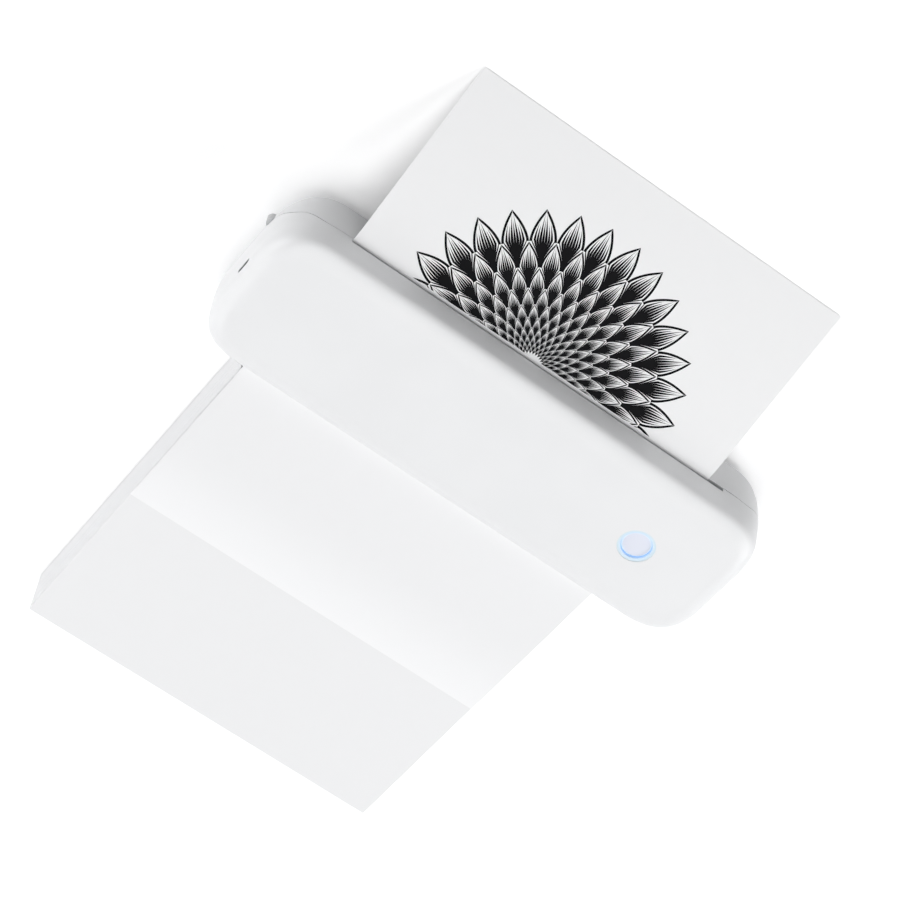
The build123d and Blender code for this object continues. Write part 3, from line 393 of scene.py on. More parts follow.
def printed_ink(name, colour):
    """Dense black ink with the faint unevenness of a heated print."""
    made = Finish(name, colour, 0.7)
    place = made.place()
    dots = made.cells(place, 4200.0)
    broad = made.noise(place, 260.0, 3.0)
    made.put("Specular IOR Level", 0.06)
    made.put("Base Color", made.blend(dots * 0.5 + broad * 0.4, colour, (0.007, 0.007, 0.008)))
    made.bump(dots, 0.00001, 0.3)
    return made.material


def board_green(name, colour):
    """Solder resist over copper tracks, with tinned pads."""
    made = Finish(name, colour, 0.34)
    place = made.place()
    x, y = made.axes(place)[:2]
    lane = (y * 620.0 + made.noise(place, 26.0, 1.0) * 9.0).part()
    track = (lane - 0.5).size().below(0.2)
    cross = (x * 380.0 + made.noise(place, 18.0, 1.0) * 5.0).part()
    wall = (cross - 0.5).size().below(0.10)
    pads = made.cells(place, 340.0).below(0.16)
    side = made.flat_top().above(0.7)
    lit = tuple(min(1.0, c * 1.9 + 0.01) for c in colour)
    tracks = made.blend(track.larger(wall) * side, colour, lit)
    made.put("Base Color", made.blend(pads * side, tracks, (0.72, 0.68, 0.58)))
    made.put("Metallic", pads * side * 0.9)
    made.bump(track.larger(wall) * side, 0.00003, 0.6)
    return made.material


def chip_black(name, colour):
    """Dull moulding compound with a speckle of filler."""
    made = Finish(name, colour, 0.55)
    place = made.place()
    speck = made.cells(place, 2600.0)
    fine = made.noise(place, 3000.0, 3.0)
    made.put("Base Color", made.blend(speck.below(0.2) * 0.35, colour, (0.30, 0.30, 0.31)))
    made.put("Roughness", 0.48 + 0.16 * fine)
    made.bump(fine, 0.00003, 0.5)
    return made.material


def cell_sleeve(name, colour, low_x, high_x, length):
    """A shrunk sleeve on each round cell, with a bare ring of metal at both its ends."""
    made = Finish(name, colour, 0.35)
    place = made.place()
    x = made.axes(place)[0]
    from_low = (x - low_x).left_over(length)
    bare = from_low.below(CELL_BASE).larger((x - high_x + CELL_TIP).above(0.0))
    creases = made.noise(made.stretched(place, (1.0, 6.0, 6.0)), 900.0, 3.0)
    sleeve = made.blend(creases, colour, tuple(c * 1.3 for c in colour))
    made.put("Base Color", made.blend(bare, sleeve, (0.62, 0.62, 0.63)))
    made.put("Metallic", bare * 0.95)
    made.bump(creases, 0.00004, 0.4)
    return made.material


def lit_ring(name, colour, glow, centre, inner, outer, top):
    """A milky ring lit from below: pale on its rim, bluest down on its inner wall."""
    made = Finish(name, colour, 0.34)
    place = made.place()
    x, y, z = made.axes(place)
    nearness = 1.0 - made.distance(x, y, centre).eased(inner, outer)
    depth = 1.0 - z.eased(top - RING_DEPTH, top - RING_EDGE)
    cloud = made.noise(place, 420.0, 3.0)
    share = (nearness * 0.25 + depth * 0.85 + cloud * 0.05).smaller(1.0)
    made.put("Emission Color", made.blend(share, (0.045, 0.07, 0.085), glow))
    made.put("Emission Strength", 1.0)
    # Painted light: down the inner wall the base colour is painted blue as well, for the ring's
    # light from below.
    made.put("Base Color", made.blend(share, colour, (0.34, 0.49, 0.72)))
    made.bump(cloud, 0.00003, 0.3)
    return made.material


def satin_cap(name, colour, centre, radius):
    """The pressed cap: a satin, faintly milky plastic, with a pale blue highlight painted on its
    rim for the ring's light.
    """
    made = Finish(name, colour, 0.33)
    place = made.place()
    x, y = made.axes(place)[:2]
    # Painted highlight: the rim of the cap is painted pale blue for the ring's light falling on it.
    rim = made.distance(x, y, centre).eased(radius * 0.86, radius * 0.96)
    fine = made.noise(place, 2200.0, 3.0)
    made.put("Base Color", made.blend(rim, colour, (0.82, 0.92, 0.985)))
    made.put("Roughness", 0.3 + 0.06 * fine)
    made.bump(fine, 0.00002, 0.3)
    return made.material


# Geometry kit


class Rule:
    """A Geometry Nodes tree with named inputs, built one node at a time."""

    def __init__(self, name, inputs):
        self.tree = bpy.data.node_groups.new(name, "GeometryNodeTree")
        face = self.tree.interface
        face.new_socket("Geometry", in_out="INPUT", socket_type="NodeSocketGeometry")
        self.keys = {}
        for label, kind in inputs:
            item = face.new_socket(label, in_out="INPUT", socket_type="NodeSocket" + kind)
            self.keys[label] = item.identifier
        face.new_socket("Geometry", in_out="OUTPUT", socket_type="NodeSocketGeometry")
        self.start = self.tree.nodes.new("NodeGroupInput")

    def given(self, label):
        return self.start.outputs[label]

    def add(self, kind, settings=None, inputs=None, output=0):
        """Adds one node in the same way and returns one of its outputs."""
        node = self.tree.nodes.new(kind)
        for key, value in (settings or {}).items():
            setattr(node, key, value)
        for key, value in (inputs or {}).items():
            socket = node.inputs[key]
            if isinstance(value, bpy.types.NodeSocket):
                self.tree.links.new(value, socket)
            else:
                socket.default_value = value
        return node.outputs[output]

    def number_on(self, name):
        """The number that each point carries under this name."""
        settings = {"data_type": "FLOAT"}
        return self.add("GeometryNodeInputNamedAttribute", settings, {"Name": name})

    def spin_about_z(self, turn):
        angles = self.add("ShaderNodeCombineXYZ", {}, {2: turn})
        return self.add("FunctionNodeEulerToRotation", {}, {0: angles})

    def close(self, geometry, material):
        real = self.add("GeometryNodeRealizeInstances", {}, {"Geometry": geometry})
        done = self.add("GeometryNodeSetMaterial", {}, {"Geometry": real, "Material": material})
        self.tree.links.new(done, self.tree.nodes.new("NodeGroupOutput").inputs[0])

    def grow(self, name, mesh, values):
        """Runs the rule on a mesh with these inputs and returns a plain mesh object."""
        carrier = add_object(name + "_carrier", mesh)
        modifier = carrier.modifiers.new("Rule", "NODES")
        modifier.node_group = self.tree
        for label, value in values.items():
            modifier[self.keys[label]] = value
        depsgraph = bpy.context.evaluated_depsgraph_get()
        ready = carrier.evaluated_get(depsgraph)
        grown = bpy.data.meshes.new_from_object(ready, depsgraph=depsgraph)
        bpy.data.objects.remove(carrier)
        grown.name = name
        if not grown.polygons:
            raise RuntimeError("The rule for " + name + " made no faces")
        return add_object(name, grown)


def add_object(name, data):
    made = bpy.data.objects.new(name, data)
    bpy.context.scene.collection.objects.link(made)
    return made


def point_mesh(name, points, **numbers):
    """Loose points with one number for each of them in every named attribute."""
    mesh = bpy.data.meshes.new(name)
    mesh.from_pydata(points, [], [])
    for key, values in numbers.items():
        mesh.attributes.new(key, "FLOAT", "POINT").data.foreach_set("value", values)
    return mesh


def finish_piece(piece, body, slot_name, *stood_for):
    """Says which body carries the piece and which nodes it replaces; its slot name is not used."""
    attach(piece, body)
    if stood_for:
        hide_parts(*stood_for)


# Settings


def colour_property(name, text, default):
    return FloatVectorProperty(name=name, description=text, default=default, subtype="COLOR",
                               size=3, min=0.0, max=1.0)


def length_property(name, text, default):
    return FloatProperty(name=name, description=text, default=default, subtype="DISTANCE",
                         unit="LENGTH")


def watts_property(name, text, default):
    return FloatProperty(name=name, description=text, default=default, min=0.0, unit="POWER")


class PrinterColours(PropertyGroup):
    cover: colour_property("Cover", "Plastic of the hinged cover", (0.812, 0.817, 0.827))
    base: colour_property("Base", "Plastic of the base", (0.80, 0.805, 0.815))
    inner: colour_property("Inner parts", "Dark plastic of the frame", (0.05, 0.052, 0.057))
    paper: colour_property("Feed page", "Paper of the page that feeds in", (0.828, 0.831, 0.840))
    stack: colour_property("Stack", "Paper of the stack", (0.815, 0.818, 0.828))
    # Painted light: the printed page is the same paper as the feed page, but painted lighter,
    # standing in for more light on it.
    label: colour_property("Printed page", "Brighter paper that comes out", (0.90, 0.903, 0.91))
    ink: colour_property("Ink", "Black ink of the print", (0.004, 0.004, 0.005))
    cap: colour_property("Button cap", "Pale satin cap of the power button", (0.755, 0.775, 0.86))
    ring: colour_property("Button ring", "Milky plastic round the button", (0.655, 0.735, 0.765))
    glow: colour_property("Glow", "Light on the inner wall of the ring", (0.17, 0.28, 0.48))
    board: colour_property("Circuit board", "Solder resist", (0.012, 0.11, 0.045))
    release: colour_property("Release buttons", "Plastic of the end buttons", (0.60, 0.605, 0.615))


class PaperSizes(PropertyGroup):
    pages: IntProperty(name="Pages", description="Layers shown in the stack",
                       default=72, min=8, max=200)
    page_shift: length_property("Page shift", "How far a page may lie out of line", 0.00007)
    seed: IntProperty(name="Seed", description="Seed for the pages' unevenness", default=4)
    crease_place: length_property("Crease", "From the stack's near edge to the top page's crease",
                                  0.0985)


class PrintSizes(PropertyGroup):
    bloom_radius: length_property("Bloom radius", "From the bloom's middle to its tips", 0.078)
    bloom_depth: length_property("Bloom depth", "How far its middle lies inside the slot", 0.004)
    petals: IntProperty(name="Petals", description="Petals in each ring of the half bloom",
                        default=15, min=6, max=40)
    rings: IntProperty(name="Rings", description="Rings of petals", default=10, min=2, max=16)
    growth: FloatProperty(name="Growth", description="Size of each ring against the one inside it",
                          default=1.26, min=1.1, max=1.6)
    hatching: IntProperty(name="Hatching", description="Engraved lines in each petal",
                          default=9, min=3, max=21)
    ink_lift: length_property("Ink thickness", "How far the ink stands on the sheet", 0.00003)
    centre_x: length_property("Middle", "Place of the print along the slot", 0.007)


class StageSizes(PropertyGroup):
    camera_place: FloatVectorProperty(name="Camera place", description="Where the camera stands",
                                      default=(0.43033, -0.78116, 1.25512), size=3,
                                      subtype="TRANSLATION", unit="LENGTH")
    camera_turn: FloatVectorProperty(name="Camera turn", description="How the camera is turned",
                                     default=CAMERA_TURN, size=3, subtype="EULER",
                                     unit="ROTATION")
    lens: FloatProperty(name="Lens", description="Focal length in millimetres", default=126.806,
                        min=10.0, max=400.0, unit="CAMERA")
    left_light: watts_property("Left light", "Power of the panel at the button's end", 13.5)
    right_light: watts_property("Right light", "Power of the low panel at the port's end", 6.6)
    corner_light: watts_property("Corner light", "Power of the panel behind the port's end", 8.5)
    top_light: watts_property("Top light", "Power of the panel overhead", 13.5)
    front_light: watts_property("Front light", "Power of the weak panel before the slot", 2.8)
    sky: FloatProperty(name="Sky", description="Strength of the even light all round",
                       default=0.05, min=0.0)


# The case


class PRINTER_OT_case(Operator):
    """Gives the moulded cover, the base, the release buttons and the inner frame their plastic"""

    bl_idname = "printer.case"
    bl_label = "Case"

    def execute(self, context):
        colours = context.scene.printer_colours
        paint(("cover_shell",), moulded("cover_plastic", tuple(colours.cover)))
        paint(("base_shell",), moulded("base_plastic", tuple(colours.base)))
        paint(("chassis", "cover_paper_guide", "battery_tray"),
              moulded("inner_plastic", tuple(colours.inner), 0.55, 0.9))
        paint(("release_button_left", "release_button_right"),
              moulded("release_plastic", tuple(colours.release), 0.45, 0.8))
        paint(("rubber_pad", "rubber_feet"), ground_rubber("rubber", (0.028, 0.028, 0.03)))
        return {"FINISHED"}


def paint(names, material):
    """Gives these CAD nodes their finish."""
    for name in names:
        for slot in frame["nodes"][name].material_slots:
            slot.material = material


# The button


class PRINTER_OT_button(Operator):
    """Lights the ring round the power button and gives its cap a satin finish"""

    bl_idname = "printer.button"
    bl_label = "Power button"

    def execute(self, context):
        colours = context.scene.printer_colours
        centre = ((RING_LOW + RING_HIGH) / 2)[:2]
        cap_low, cap_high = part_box("power_button")
        radius = (cap_high.x - cap_low.x) / 2 - CAP_FLANGE
        ring = lit_ring("ring_plastic", tuple(colours.ring), tuple(colours.glow), centre,
                        radius + RING_GAP, radius + RING_REACH, RING_HIGH.z)
        paint(("button_light_ring",), ring)
        paint(("power_button",), satin_cap("button_plastic", tuple(colours.cap), centre, radius))
        paint(("button_lights",), moulded("light_white", (0.85, 0.86, 0.80), 0.25, 0.3))
        return {"FINISHED"}


# The paper


class PRINTER_OT_paper(Operator):
    """Builds the stack page by page and finishes the two loose pages"""

    bl_idname = "printer.paper"
    bl_label = "Paper"

    def execute(self, context):
        colours = context.scene.printer_colours
        sizes = context.scene.printer_paper
        size = STACK_HIGH - STACK_LOW
        pitch = size.z / sizes.pages
        shift = sizes.page_shift
        rule = Rule("page_stack", [("Pages", "Int"), ("Page Size", "Vector"), ("Pitch", "Float"),
                                   ("Shift", "Float"), ("Seed", "Int")])
        line = rule.add("GeometryNodeMeshLine", {"mode": "OFFSET"}, {"Count": rule.given("Pages")})
        index = rule.add("GeometryNodeInputIndex")
        step = rule.add("ShaderNodeMath", {"operation": "MULTIPLY"},
                        {0: index, 1: rule.given("Pitch")})
        ends = [rule.add("ShaderNodeMath", {"operation": "MULTIPLY"},
                         {0: rule.given("Shift"), 1: sign}) for sign in (-1.0, 1.0)]
        chance = []
        for extra in (0, 7):
            seed = rule.add("ShaderNodeMath", {"operation": "ADD"},
                            {0: rule.given("Seed"), 1: extra})
            chance.append(rule.add("FunctionNodeRandomValue", {"data_type": "FLOAT"},
                                   {2: ends[0], 3: ends[1], "Seed": seed}, 1))
        spot = rule.add("ShaderNodeCombineXYZ", {}, {0: chance[0], 1: chance[1], 2: step})
        placed = rule.add("GeometryNodeSetPosition", {}, {"Geometry": line, "Position": spot})
        page = rule.add("GeometryNodeMeshCube", {}, {"Size": rule.given("Page Size")})
        pages = rule.add("GeometryNodeInstanceOnPoints", {}, {"Points": placed, "Instance": page})
        material = stacked_paper("stack_paper", tuple(colours.stack), pitch)
        rule.close(pages, material)
        seat = bpy.data.meshes.new("stack_seat")
        stack = rule.grow("page_stack", seat, {
            "Pages": sizes.pages,
            "Page Size": (size.x - 2 * shift, size.y - 2 * shift, pitch * PAGE_SHARE),
            "Pitch": pitch,
            "Shift": shift,
            "Seed": sizes.seed,
        })
        middle = (STACK_LOW + STACK_HIGH) / 2
        stack.data.transform(Matrix.Translation((middle.x, middle.y, STACK_LOW.z + pitch / 2)))
        finish_piece(stack, "base", "stack_paper", "paper_stack")
        crease = STACK_LOW.y + sizes.crease_place
        # The feed page gets a painted highlight before its crease.
        paint(("feed_sheet",), smooth_paper("label_paper", tuple(colours.paper), crease=crease))
        # The printed page's paper is painted lighter than the feed page's, as painted light.
        paint(("printed_sheet",), smooth_paper("printed_paper", tuple(colours.label)))
        return {"FINISHED"}


# The print


def sheet_path():
    """The upper side of the printed sheet from the slot to its free end, as (y, z)."""
    mesh = frame["nodes"]["printed_sheet"].data
    rows = {}
    for polygon in mesh.polygons:
        if polygon.normal.z < 0.5:
            continue
        for index in polygon.vertices:
            place = mesh.vertices[index].co
            key = round(place.y, 5)
            rows[key] = max(rows.get(key, -1.0), place.z)
    return sorted(rows.items(), reverse=True)


def on_sheet(path, along, lift):
    """The point at this distance down the sheet's slope, lifted off it."""
    left = along
    for (y0, z0), (y1, z1) in zip(path, path[1:]):
        run = math.hypot(y1 - y0, z1 - z0)
        if left <= run or (y1, z1) == path[-1]:
            share = left / run
            out = (-(z1 - z0) / run, (y1 - y0) / run)
            if out[1] < 0:
                out = (-out[0], -out[1])
            return y0 + (y1 - y0) * share + out[0] * lift, z0 + (z1 - z0) * share + out[1] * lift
        left -= run
    return path[-1]


def petal_mesh(growth, spread, lines):
    """One engraved petal of the bloom, drawn for the ring one unit from its middle.

    It fills the kite from the notch between its two inner neighbours to its own tip,
    solid at the notch and hatched ever thinner towards the tip, with an outline round it.
    """
    made = bmesh.new()
    notch = 1.0 / growth
    half = spread / 2

    def half_width(r):
        if r < 1.0:
            rise = (r - notch) / (1.0 - notch)
            return max(0.0, r * half - half * notch * (1.0 - rise ** 1.8))
        return half * (1.0 - ((r - 1.0) / (growth - 1.0)) ** 1.8)

    def strip(points, widths):
        rows = []
        for (x, y), width in zip(points, widths):
            rows.append([made.verts.new((x, y + side * width / 2, 0.0)) for side in (-1, 1)])
        for (a, b), (c, d) in zip(rows, rows[1:]):
            made.faces.new((a, c, d, b))

    for line in range(lines):
        across = -1.0 + 2.0 * (line + 0.5) / lines
        share = 0.46 + 0.36 * math.cos(across * math.pi / 2) + (0.12 if line % 2 else 0.0)
        reach = (growth - notch) * share
        points = []
        widths = []
        for step in range(PETAL_STEPS + 1):
            t = step / PETAL_STEPS
            r = notch + reach * t
            points.append((r, across * half_width(r) * 0.93))
            widths.append(2.4 * half_width(r) / lines * (1.0 - t ** 2.2))
        strip(points, widths)
    for side in (-1, 1):
        points = []
        widths = []
        for step in range(OUTLINE_STEPS + 1):
            r = 1.0 + (growth - 1.0) * step / OUTLINE_STEPS
            thick = min(OUTLINE_WIDTH, 0.9 * half_width(r))
            points.append((r, side * (half_width(r) - thick / 2)))
            widths.append(thick)
        strip(points, widths)
    mesh = bpy.data.meshes.new("petal")
    made.to_mesh(mesh)
    made.free()
    return mesh


class PRINTER_OT_print(Operator):
    """Prints a generic half bloom of engraved petals on the sheet in front of the slot"""

    bl_idname = "printer.print"
    bl_label = "Print"

    def execute(self, context):
        sizes = context.scene.printer_print
        material = printed_ink("ink", tuple(context.scene.printer_colours.ink))
        spread = math.pi / sizes.petals
        petal = add_object("petal_pattern", petal_mesh(sizes.growth, spread, sizes.hatching))
        rule = Rule("half_bloom", [("Petal", "Object"), ("Bloom Radius", "Float")])
        shape = rule.add("GeometryNodeObjectInfo", {}, {"Object": rule.given("Petal")}, "Geometry")
        scale = rule.add("ShaderNodeMath", {"operation": "MULTIPLY"},
                         {0: rule.number_on("share"), 1: rule.given("Bloom Radius")})
        bloom = rule.add("GeometryNodeInstanceOnPoints", {},
                         {"Points": rule.given("Geometry"), "Instance": shape,
                          "Rotation": rule.spin_about_z(rule.number_on("turn")), "Scale": scale})
        rule.close(bloom, material)
        turns = []
        shares = []
        for ring in range(sizes.rings):
            for number in range(sizes.petals + 1):
                turns.append((number + 0.5 * (ring % 2)) * spread)
                shares.append(sizes.growth ** -(ring + 1))
        seat = point_mesh("bloom_points", [(0.0, -sizes.bloom_depth, 0.0)] * len(turns),
                          turn=turns, share=shares)
        ink = rule.grow("printed_bloom", seat, {"Petal": petal, "Bloom Radius": sizes.bloom_radius})
        bpy.data.objects.remove(petal)
        work = bmesh.new()
        work.from_mesh(ink.data)
        path = sheet_path()
        bends = [SLOT_CUT]
        total = 0.0
        for (y0, z0), (y1, z1) in zip(path, path[1:]):
            total += math.hypot(y1 - y0, z1 - z0)
            if total < BEND_REACH:
                bends.append(total)
        for number, cut in enumerate(bends):
            whole = list(work.verts) + list(work.edges) + list(work.faces)
            bmesh.ops.bisect_plane(work, geom=whole, plane_co=(0.0, cut, 0.0),
                                   plane_no=(0.0, -1.0, 0.0), clear_outer=number == 0)
        for vertex in work.verts:
            x = vertex.co.x + sizes.centre_x
            y, z = on_sheet(path, vertex.co.y, sizes.ink_lift)
            vertex.co = Vector((x, y, z))
        for face in work.faces:
            face.normal_update()
            if face.normal.z < 0.0:
                face.normal_flip()
        work.to_mesh(ink.data)
        work.free()
        finish_piece(ink, "base", "printed_paper")
        return {"FINISHED"}


# The inner works


class PRINTER_OT_works(Operator):
    """Finishes the print head, the roller, the gears, the motor and the fasteners"""

    bl_idname = "printer.works"
    bl_label = "Inner works"

    def execute(self, context):
        steel = drawn_metal("steel", (0.56, 0.57, 0.58), 0.28)
        paint(("case_screws", "board_screws", "head_screws", "hinge_pin_left", "hinge_pin_right",
               "idler_axle", "platen_shaft", "motor_shaft"), steel)
        paint(("platen_bearing_left", "platen_bearing_right"),
              moulded("bearing_plastic", (0.60, 0.58, 0.50), 0.35, 0.4))
        paint(("platen_gear", "idler_gear"), moulded("gear_plastic", (0.63, 0.63, 0.60), 0.4, 0.4))
        paint(("motor_pinion",), drawn_metal("pinion_brass", (0.62, 0.42, 0.16), 0.26))
        paint(("platen_rubber",), ground_rubber("platen_rubber", (0.022, 0.022, 0.025), 0.62))
        paint(("motor",), drawn_metal("motor_steel", (0.46, 0.47, 0.49), 0.34))
        paint(("head_heatsink",), drawn_metal("heatsink_aluminium", (0.66, 0.67, 0.69), 0.38))
        paint(("head_bracket",), drawn_metal("bracket_steel", (0.50, 0.51, 0.52), 0.36))
        paint(("head_ceramic",), moulded("ceramic_white", (0.72, 0.70, 0.64), 0.16, 0.2))
        paint(("charging_port",), drawn_metal("port_steel", (0.46, 0.47, 0.48), 0.3))
        paint(("battery_contacts",), drawn_metal("contact_metal", (0.62, 0.60, 0.55), 0.3, "Z"))
        cell_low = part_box("battery_cell_left")[0]
        second_low, cell_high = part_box("battery_cell_right")
        paint(("battery_cell_left", "battery_cell_right"),
              cell_sleeve("cell_wrap", (0.02, 0.10, 0.26), cell_low.x, cell_high.x,
                          second_low.x - cell_low.x))
        return {"FINISHED"}


class PRINTER_OT_springs(Operator):
    """Replaces the print head's springs with a smooth-shaded copy of them carried by the cover"""

    bl_idname = "printer.springs"
    bl_label = "Head springs"

    def execute(self, context):
        work = bmesh.new()
        work.from_mesh(frame["nodes"]["head_springs"].data)
        bmesh.ops.remove_doubles(work, verts=list(work.verts), dist=MERGE_DISTANCE)
        for face in work.faces:
            face.smooth = True
        for edge in work.edges:
            if len(edge.link_faces) == 2 and edge.calc_face_angle() > SPRING_EDGE:
                edge.smooth = False
        mesh = bpy.data.meshes.new("head_coils")
        work.to_mesh(mesh)
        work.free()
        mesh.materials.append(drawn_metal("spring_steel", (0.36, 0.36, 0.38), 0.3, "Z"))
        coils = add_object("head_coils", mesh)
        finish_piece(coils, "cover", "spring_steel", "head_springs")
        low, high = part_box("head_springs")
        floats = next(joint for joint in frame["joints"] if joint["name"] == "head_float")
        travel = floats["range_m"][1]
        1.0 - travel / (high.z - low.z)
        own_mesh(coils)
        return {"FINISHED"}


class PRINTER_OT_boards(Operator):
    """Finishes both circuit boards and adds the chips' pins and the port's contacts"""

    bl_idname = "printer.boards"
    bl_label = "Boards"

    def execute(self, context):
        colours = context.scene.printer_colours
        board = board_green("board_green", tuple(colours.board))
        black = chip_black("chip_black", (0.012, 0.012, 0.014))
        paint(("main_board", "control_board"), board)
        paint(("main_board_parts", "control_board_parts", "paper_sensor", "head_driver_strip",
               "button_switch", "charging_port_tongue"), black)
        tin = drawn_metal("pin_tin", (0.66, 0.65, 0.62), 0.3)
        rule = Rule("pin_rows", [("Pin Size", "Vector")])
        pin = rule.add("GeometryNodeMeshCube", {}, {"Size": rule.given("Pin Size")})
        pins = rule.add("GeometryNodeInstanceOnPoints", {},
                        {"Points": rule.given("Geometry"), "Instance": pin,
                         "Rotation": rule.spin_about_z(rule.number_on("turn"))})
        rule.close(pins, tin)
        spots = []
        turns = []
        z = BOARD_TOP + PIN_LIFT
        for low, high in solid_boxes("main_board_parts")[:DRESSED_CHIPS]:
            for side in (-1, 1):
                x = (high.x if side > 0 else low.x) + side * PIN_REACH
                for y in row_places(low.y, high.y):
                    spots.append((x, y, z))
                    turns.append(0.0)
                y = (high.y if side > 0 else low.y) + side * PIN_REACH
                for x in row_places(low.x, high.x):
                    spots.append((x, y, z))
                    turns.append(math.pi / 2)
        seat = point_mesh("pin_points", spots, turn=turns)
        rows = rule.grow("chip_pins", seat, {"Pin Size": PIN_SIZE})
        finish_piece(rows, "cover", "contact_metal")
        spots = []
        middle = (TONGUE_LOW + TONGUE_HIGH) / 2
        for z in (TONGUE_LOW.z - CONTACT_LIFT, TONGUE_HIGH.z + CONTACT_LIFT):
            for i in range(CONTACT_COUNT):
                y = middle.y + (i - (CONTACT_COUNT - 1) / 2) * CONTACT_PITCH
                spots.append((middle.x + CONTACT_SHIFT, y, z))
        seat = point_mesh("contact_points", spots, turn=[0.0] * len(spots))
        contacts = rule.grow("port_contacts", seat, {"Pin Size": CONTACT_SIZE})
        finish_piece(contacts, "cover", "contact_metal")
        return {"FINISHED"}


def row_places(low, high):
    """The places of a row of pins along one side of a chip."""
    count = int((high - low) / PIN_PITCH)
    return [low + (i + 0.5) * (high - low) / count for i in range(count)]


def solid_boxes(name):
    """The box of every separate solid in a node, from left to right."""
    mesh = frame["nodes"][name].data
    work = bmesh.new()
    work.from_mesh(mesh)
    bmesh.ops.remove_doubles(work, verts=list(work.verts), dist=MERGE_DISTANCE)
    unseen = set(work.verts)
    boxes = []
    while unseen:
        group = [unseen.pop()]
        low = group[0].co.copy()
        high = group[0].co.copy()
        while group:
            vertex = group.pop()
            low = Vector(map(min, low, vertex.co))
            high = Vector(map(max, high, vertex.co))
            for edge in vertex.link_edges:
                other = edge.other_vert(vertex)
                if other in unseen:
                    unseen.remove(other)
                    group.append(other)
        boxes.append((low, high))
    work.free()
    return sorted(boxes, key=lambda pair: pair[0].x)


# The stage


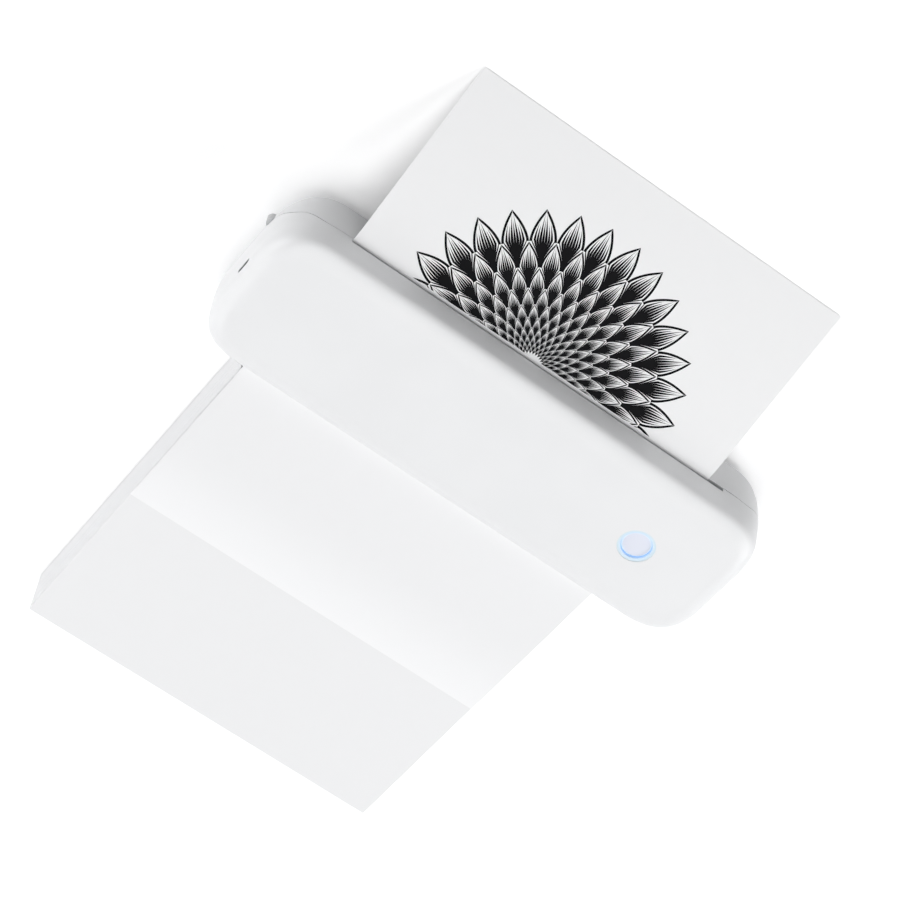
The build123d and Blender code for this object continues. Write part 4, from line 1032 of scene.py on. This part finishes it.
class PRINTER_OT_stage(Operator):
    """Sets the white floor, the soft lights and the camera"""

    bl_idname = "printer.stage"
    bl_label = "Stage"

    def execute(self, context):
        sizes = context.scene.printer_stage
        scene = context.scene
        scene.view_settings.view_transform = "Standard"
        self.floor()
        for name, place, size, setting in LIGHT_PANELS:
            self.panel(name, place, size, getattr(sizes, setting))
        self.sky(sizes.sky)
        camera = bpy.data.cameras.new("camera")
        camera.lens = sizes.lens
        camera.sensor_width = 36.0
        camera.clip_start = 0.05
        camera.clip_end = 30.0
        stand = add_object("camera", camera)
        stand.location = sizes.camera_place
        stand.rotation_euler = Euler(sizes.camera_turn, "XYZ")
        scene.camera = stand
        return {"FINISHED"}

    def floor(self):
        """A pale floor that shows white to the eye, but keeps the object's shadow."""
        work = bmesh.new()
        bmesh.ops.create_grid(work, x_segments=1, y_segments=1, size=FLOOR_SIZE)
        mesh = bpy.data.meshes.new("floor")
        work.to_mesh(mesh)
        work.free()
        mesh.transform(Matrix.Translation((0.0, 0.0, CAD_BOX[0].z - FLOOR_DROP)))
        floor = add_object("floor", mesh)
        made = Finish("floor_white", (0.95, 0.95, 0.953), 0.9)
        made.put("Specular IOR Level", 0.0)
        path = made.add("ShaderNodeLightPath").socket.node
        seen, glossy, through = (Value(made, path.outputs[ray]) for ray in RAYS_THAT_SEE_WHITE)
        x, y = made.axes(made.place())[:2]
        away = made.distance(x, y).eased(GLOW_NEAR, GLOW_FAR)
        made.put("Emission Color", made.blend(away, (FLOOR_GLOW,) * 3, (1.0, 1.0, 1.0)))
        made.put("Emission Strength", seen.larger(glossy).larger(through))
        mesh.materials.append(made.material)

    def panel(self, name, place, size, power):
        light = bpy.data.lights.new(name, "AREA")
        light.shape = "SQUARE"
        light.size = size
        light.energy = power
        stand = add_object(name, light)
        stand.location = place
        stand.rotation_euler = (-Vector(place)).to_track_quat("-Z", "Y").to_euler()

    def sky(self, strength):
        """Weak even light, and plain white to the eye and in reflections."""
        world = bpy.data.worlds.new("sky")
        bpy.context.scene.world = world
        world.use_nodes = True
        tree = world.node_tree
        tree.nodes.clear()
        output = tree.nodes.new("ShaderNodeOutputWorld")
        mix = tree.nodes.new("ShaderNodeMixShader")
        shades = (((0.96, 0.98, 1.0, 1.0), strength), ((1.0, 1.0, 1.0, 1.0), 1.0))
        for index, (colour, power) in enumerate(shades):
            shade = tree.nodes.new("ShaderNodeBackground")
            shade.inputs["Color"].default_value = colour
            shade.inputs["Strength"].default_value = power
            tree.links.new(shade.outputs[0], mix.inputs[index + 1])
        path = tree.nodes.new("ShaderNodeLightPath")
        seen = path.outputs[RAYS_THAT_SEE_WHITE[0]]
        for ray in RAYS_THAT_SEE_WHITE[1:]:
            larger = tree.nodes.new("ShaderNodeMath")
            larger.operation = "MAXIMUM"
            tree.links.new(seen, larger.inputs[0])
            tree.links.new(path.outputs[ray], larger.inputs[1])
            seen = larger.outputs[0]
        tree.links.new(seen, mix.inputs["Fac"])
        tree.links.new(mix.outputs[0], output.inputs["Surface"])


# The panel


class PRINTER_PT_panel(Panel):
    """Lists the printer's settings and builds its pieces"""

    bl_label = "Portable Label Printer"
    bl_space_type = "VIEW_3D"
    bl_region_type = "UI"
    bl_category = "Printer"

    def draw(self, context):
        layout = self.layout
        for group in GROUPS:
            settings = getattr(context.scene, group)
            box = layout.box()
            for name in settings.__annotations__:
                box.prop(settings, name)
        for operator in OPERATORS:
            layout.operator(operator.bl_idname)


GROUPS = {
    "printer_colours": PrinterColours,
    "printer_paper": PaperSizes,
    "printer_print": PrintSizes,
    "printer_stage": StageSizes,
}
OPERATORS = (PRINTER_OT_case, PRINTER_OT_button, PRINTER_OT_paper, PRINTER_OT_print,
             PRINTER_OT_works, PRINTER_OT_springs, PRINTER_OT_boards, PRINTER_OT_stage)


def register():
    for name, group in GROUPS.items():
        bpy.utils.register_class(group)
        setattr(bpy.types.Scene, name, PointerProperty(type=group))
    for operator in OPERATORS:
        bpy.utils.register_class(operator)
    bpy.utils.register_class(PRINTER_PT_panel)


def unregister():
    bpy.utils.unregister_class(PRINTER_PT_panel)
    for operator in reversed(OPERATORS):
        bpy.utils.unregister_class(operator)
    for name, group in reversed(list(GROUPS.items())):
        delattr(bpy.types.Scene, name)
        bpy.utils.unregister_class(group)


def main():
    register()
    bpy.ops.printer.case()
    bpy.ops.printer.button()
    bpy.ops.printer.paper()
    bpy.ops.printer.print()
    bpy.ops.printer.works()
    bpy.ops.printer.springs()
    bpy.ops.printer.boards()
    bpy.ops.printer.stage()


if __name__ == "__main__":
    main()
